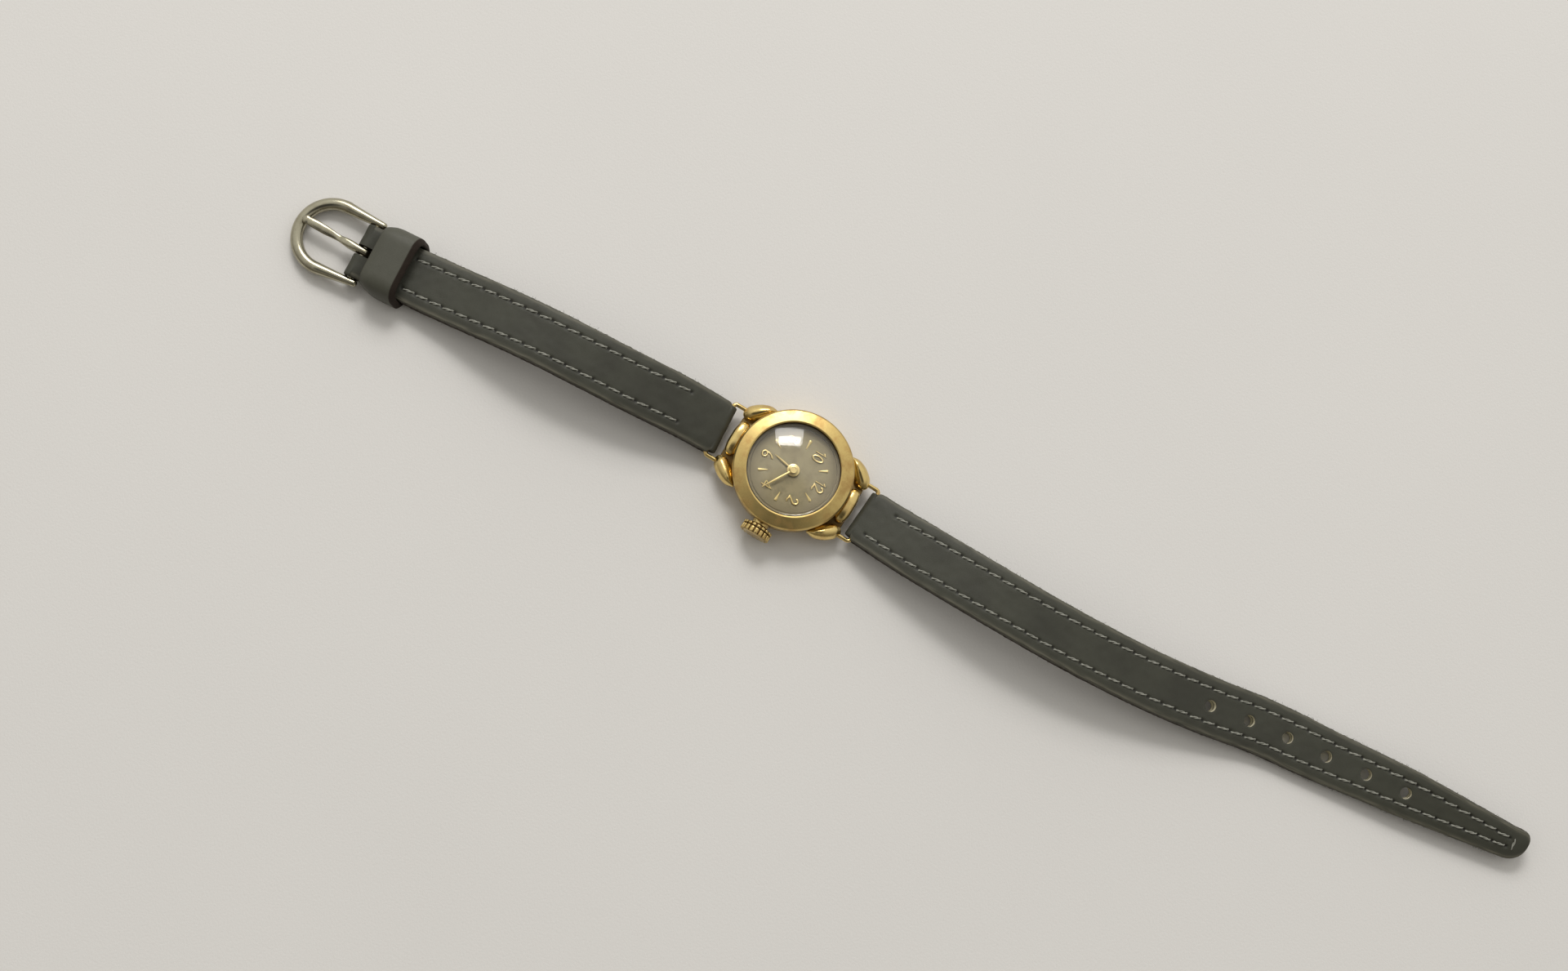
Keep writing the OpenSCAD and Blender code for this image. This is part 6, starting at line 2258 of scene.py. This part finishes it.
def long_half() -> StrapHalf:
    """The half with the holes, on the wire at twelve.

    Returns:
        The half.
    """
    path = StrapPath((
        (11.8, 0, 2.2, 0), (19, 0.4, 3.8, 0), (32, 0.62, 5.9, 0), (41, 0.46, 6.2, 0),
        (49, -0.05, 5.6, 0), (57.6, -1.05, 4.2, 0), (66.6, -2.6, 2.5, 1), (75, -4.3, 1.3, 2),
        (84.2, -5.3, 1.3, 4), (92.1, -6.25, 1.8, 8), (100.6, -7.2, 2.2, 12),
        (109.3, -8.15, 2.15, 15), (115, -8.8, 1.95, 16),
    ), side=1)
    widths = ((12.35, 7.9), (20, 8.2), (62, 8.2), (80, 7.9), (97, 6.9), (112.6, 4.7))
    return StrapHalf(
        name="long_strap", path=path, widths=widths, wire=wire_turn, end=StrapEnd.TIP, last=114.9,
        stitched_to=112.6, first_hole=66.4, hole_count=6, lining_last=114.9, early_stitches=(1, 2),
    )


def short_half() -> StrapHalf:
    """The half with the buckle, on the wire at six.

    Returns:
        The half.
    """
    lean = math.tan(math.radians(5.5))
    path = StrapPath((
        (11.8, 0, 2.2, 0), (18, 0.5, 3.6, 0), (25, 1.35, 5, 0), (32, 2.02, 5.8, 0), (39, 2.6, 5.8, 0),
        (46, 3.15, 4.5, 0), (52.5, 3.7, 2.8, 0), (57.7, 5.05 - 9 * lean, 2.02, 0),
        (62.2, 5.05 - 4.5 * lean, 1.93, 0), (66.7, 5.05, 1.92, 0),
    ), side=-1)
    widths = ((12.35, 7.9), (20, 8.2), (56, 8.2), (63, 7.9), (66.7, 7.9))
    buckle = Turn(at=66.7, outside=1.12, bore=0.53, until=65.62)
    return StrapHalf(
        name="short_strap", path=path, widths=widths, wire=wire_turn, end=StrapEnd.BUCKLE, last=66.7,
        stitched_to=60.0, buckle=buckle, lining_last=65.53, notch_start=65.55,
    )


def main() -> None:
    """Builds the watch's looks piece by piece, then the studio round it."""
    logging.basicConfig(level=logging.INFO, format="%(message)s")
    builders = [Case(), DialWork(), Crown(), long_half(), short_half(), BuckleWork()]
    for builder in builders:
        builder.build()
    KeptPieces().dress()
    Studio().build()


if __name__ == "__main__":
    main()
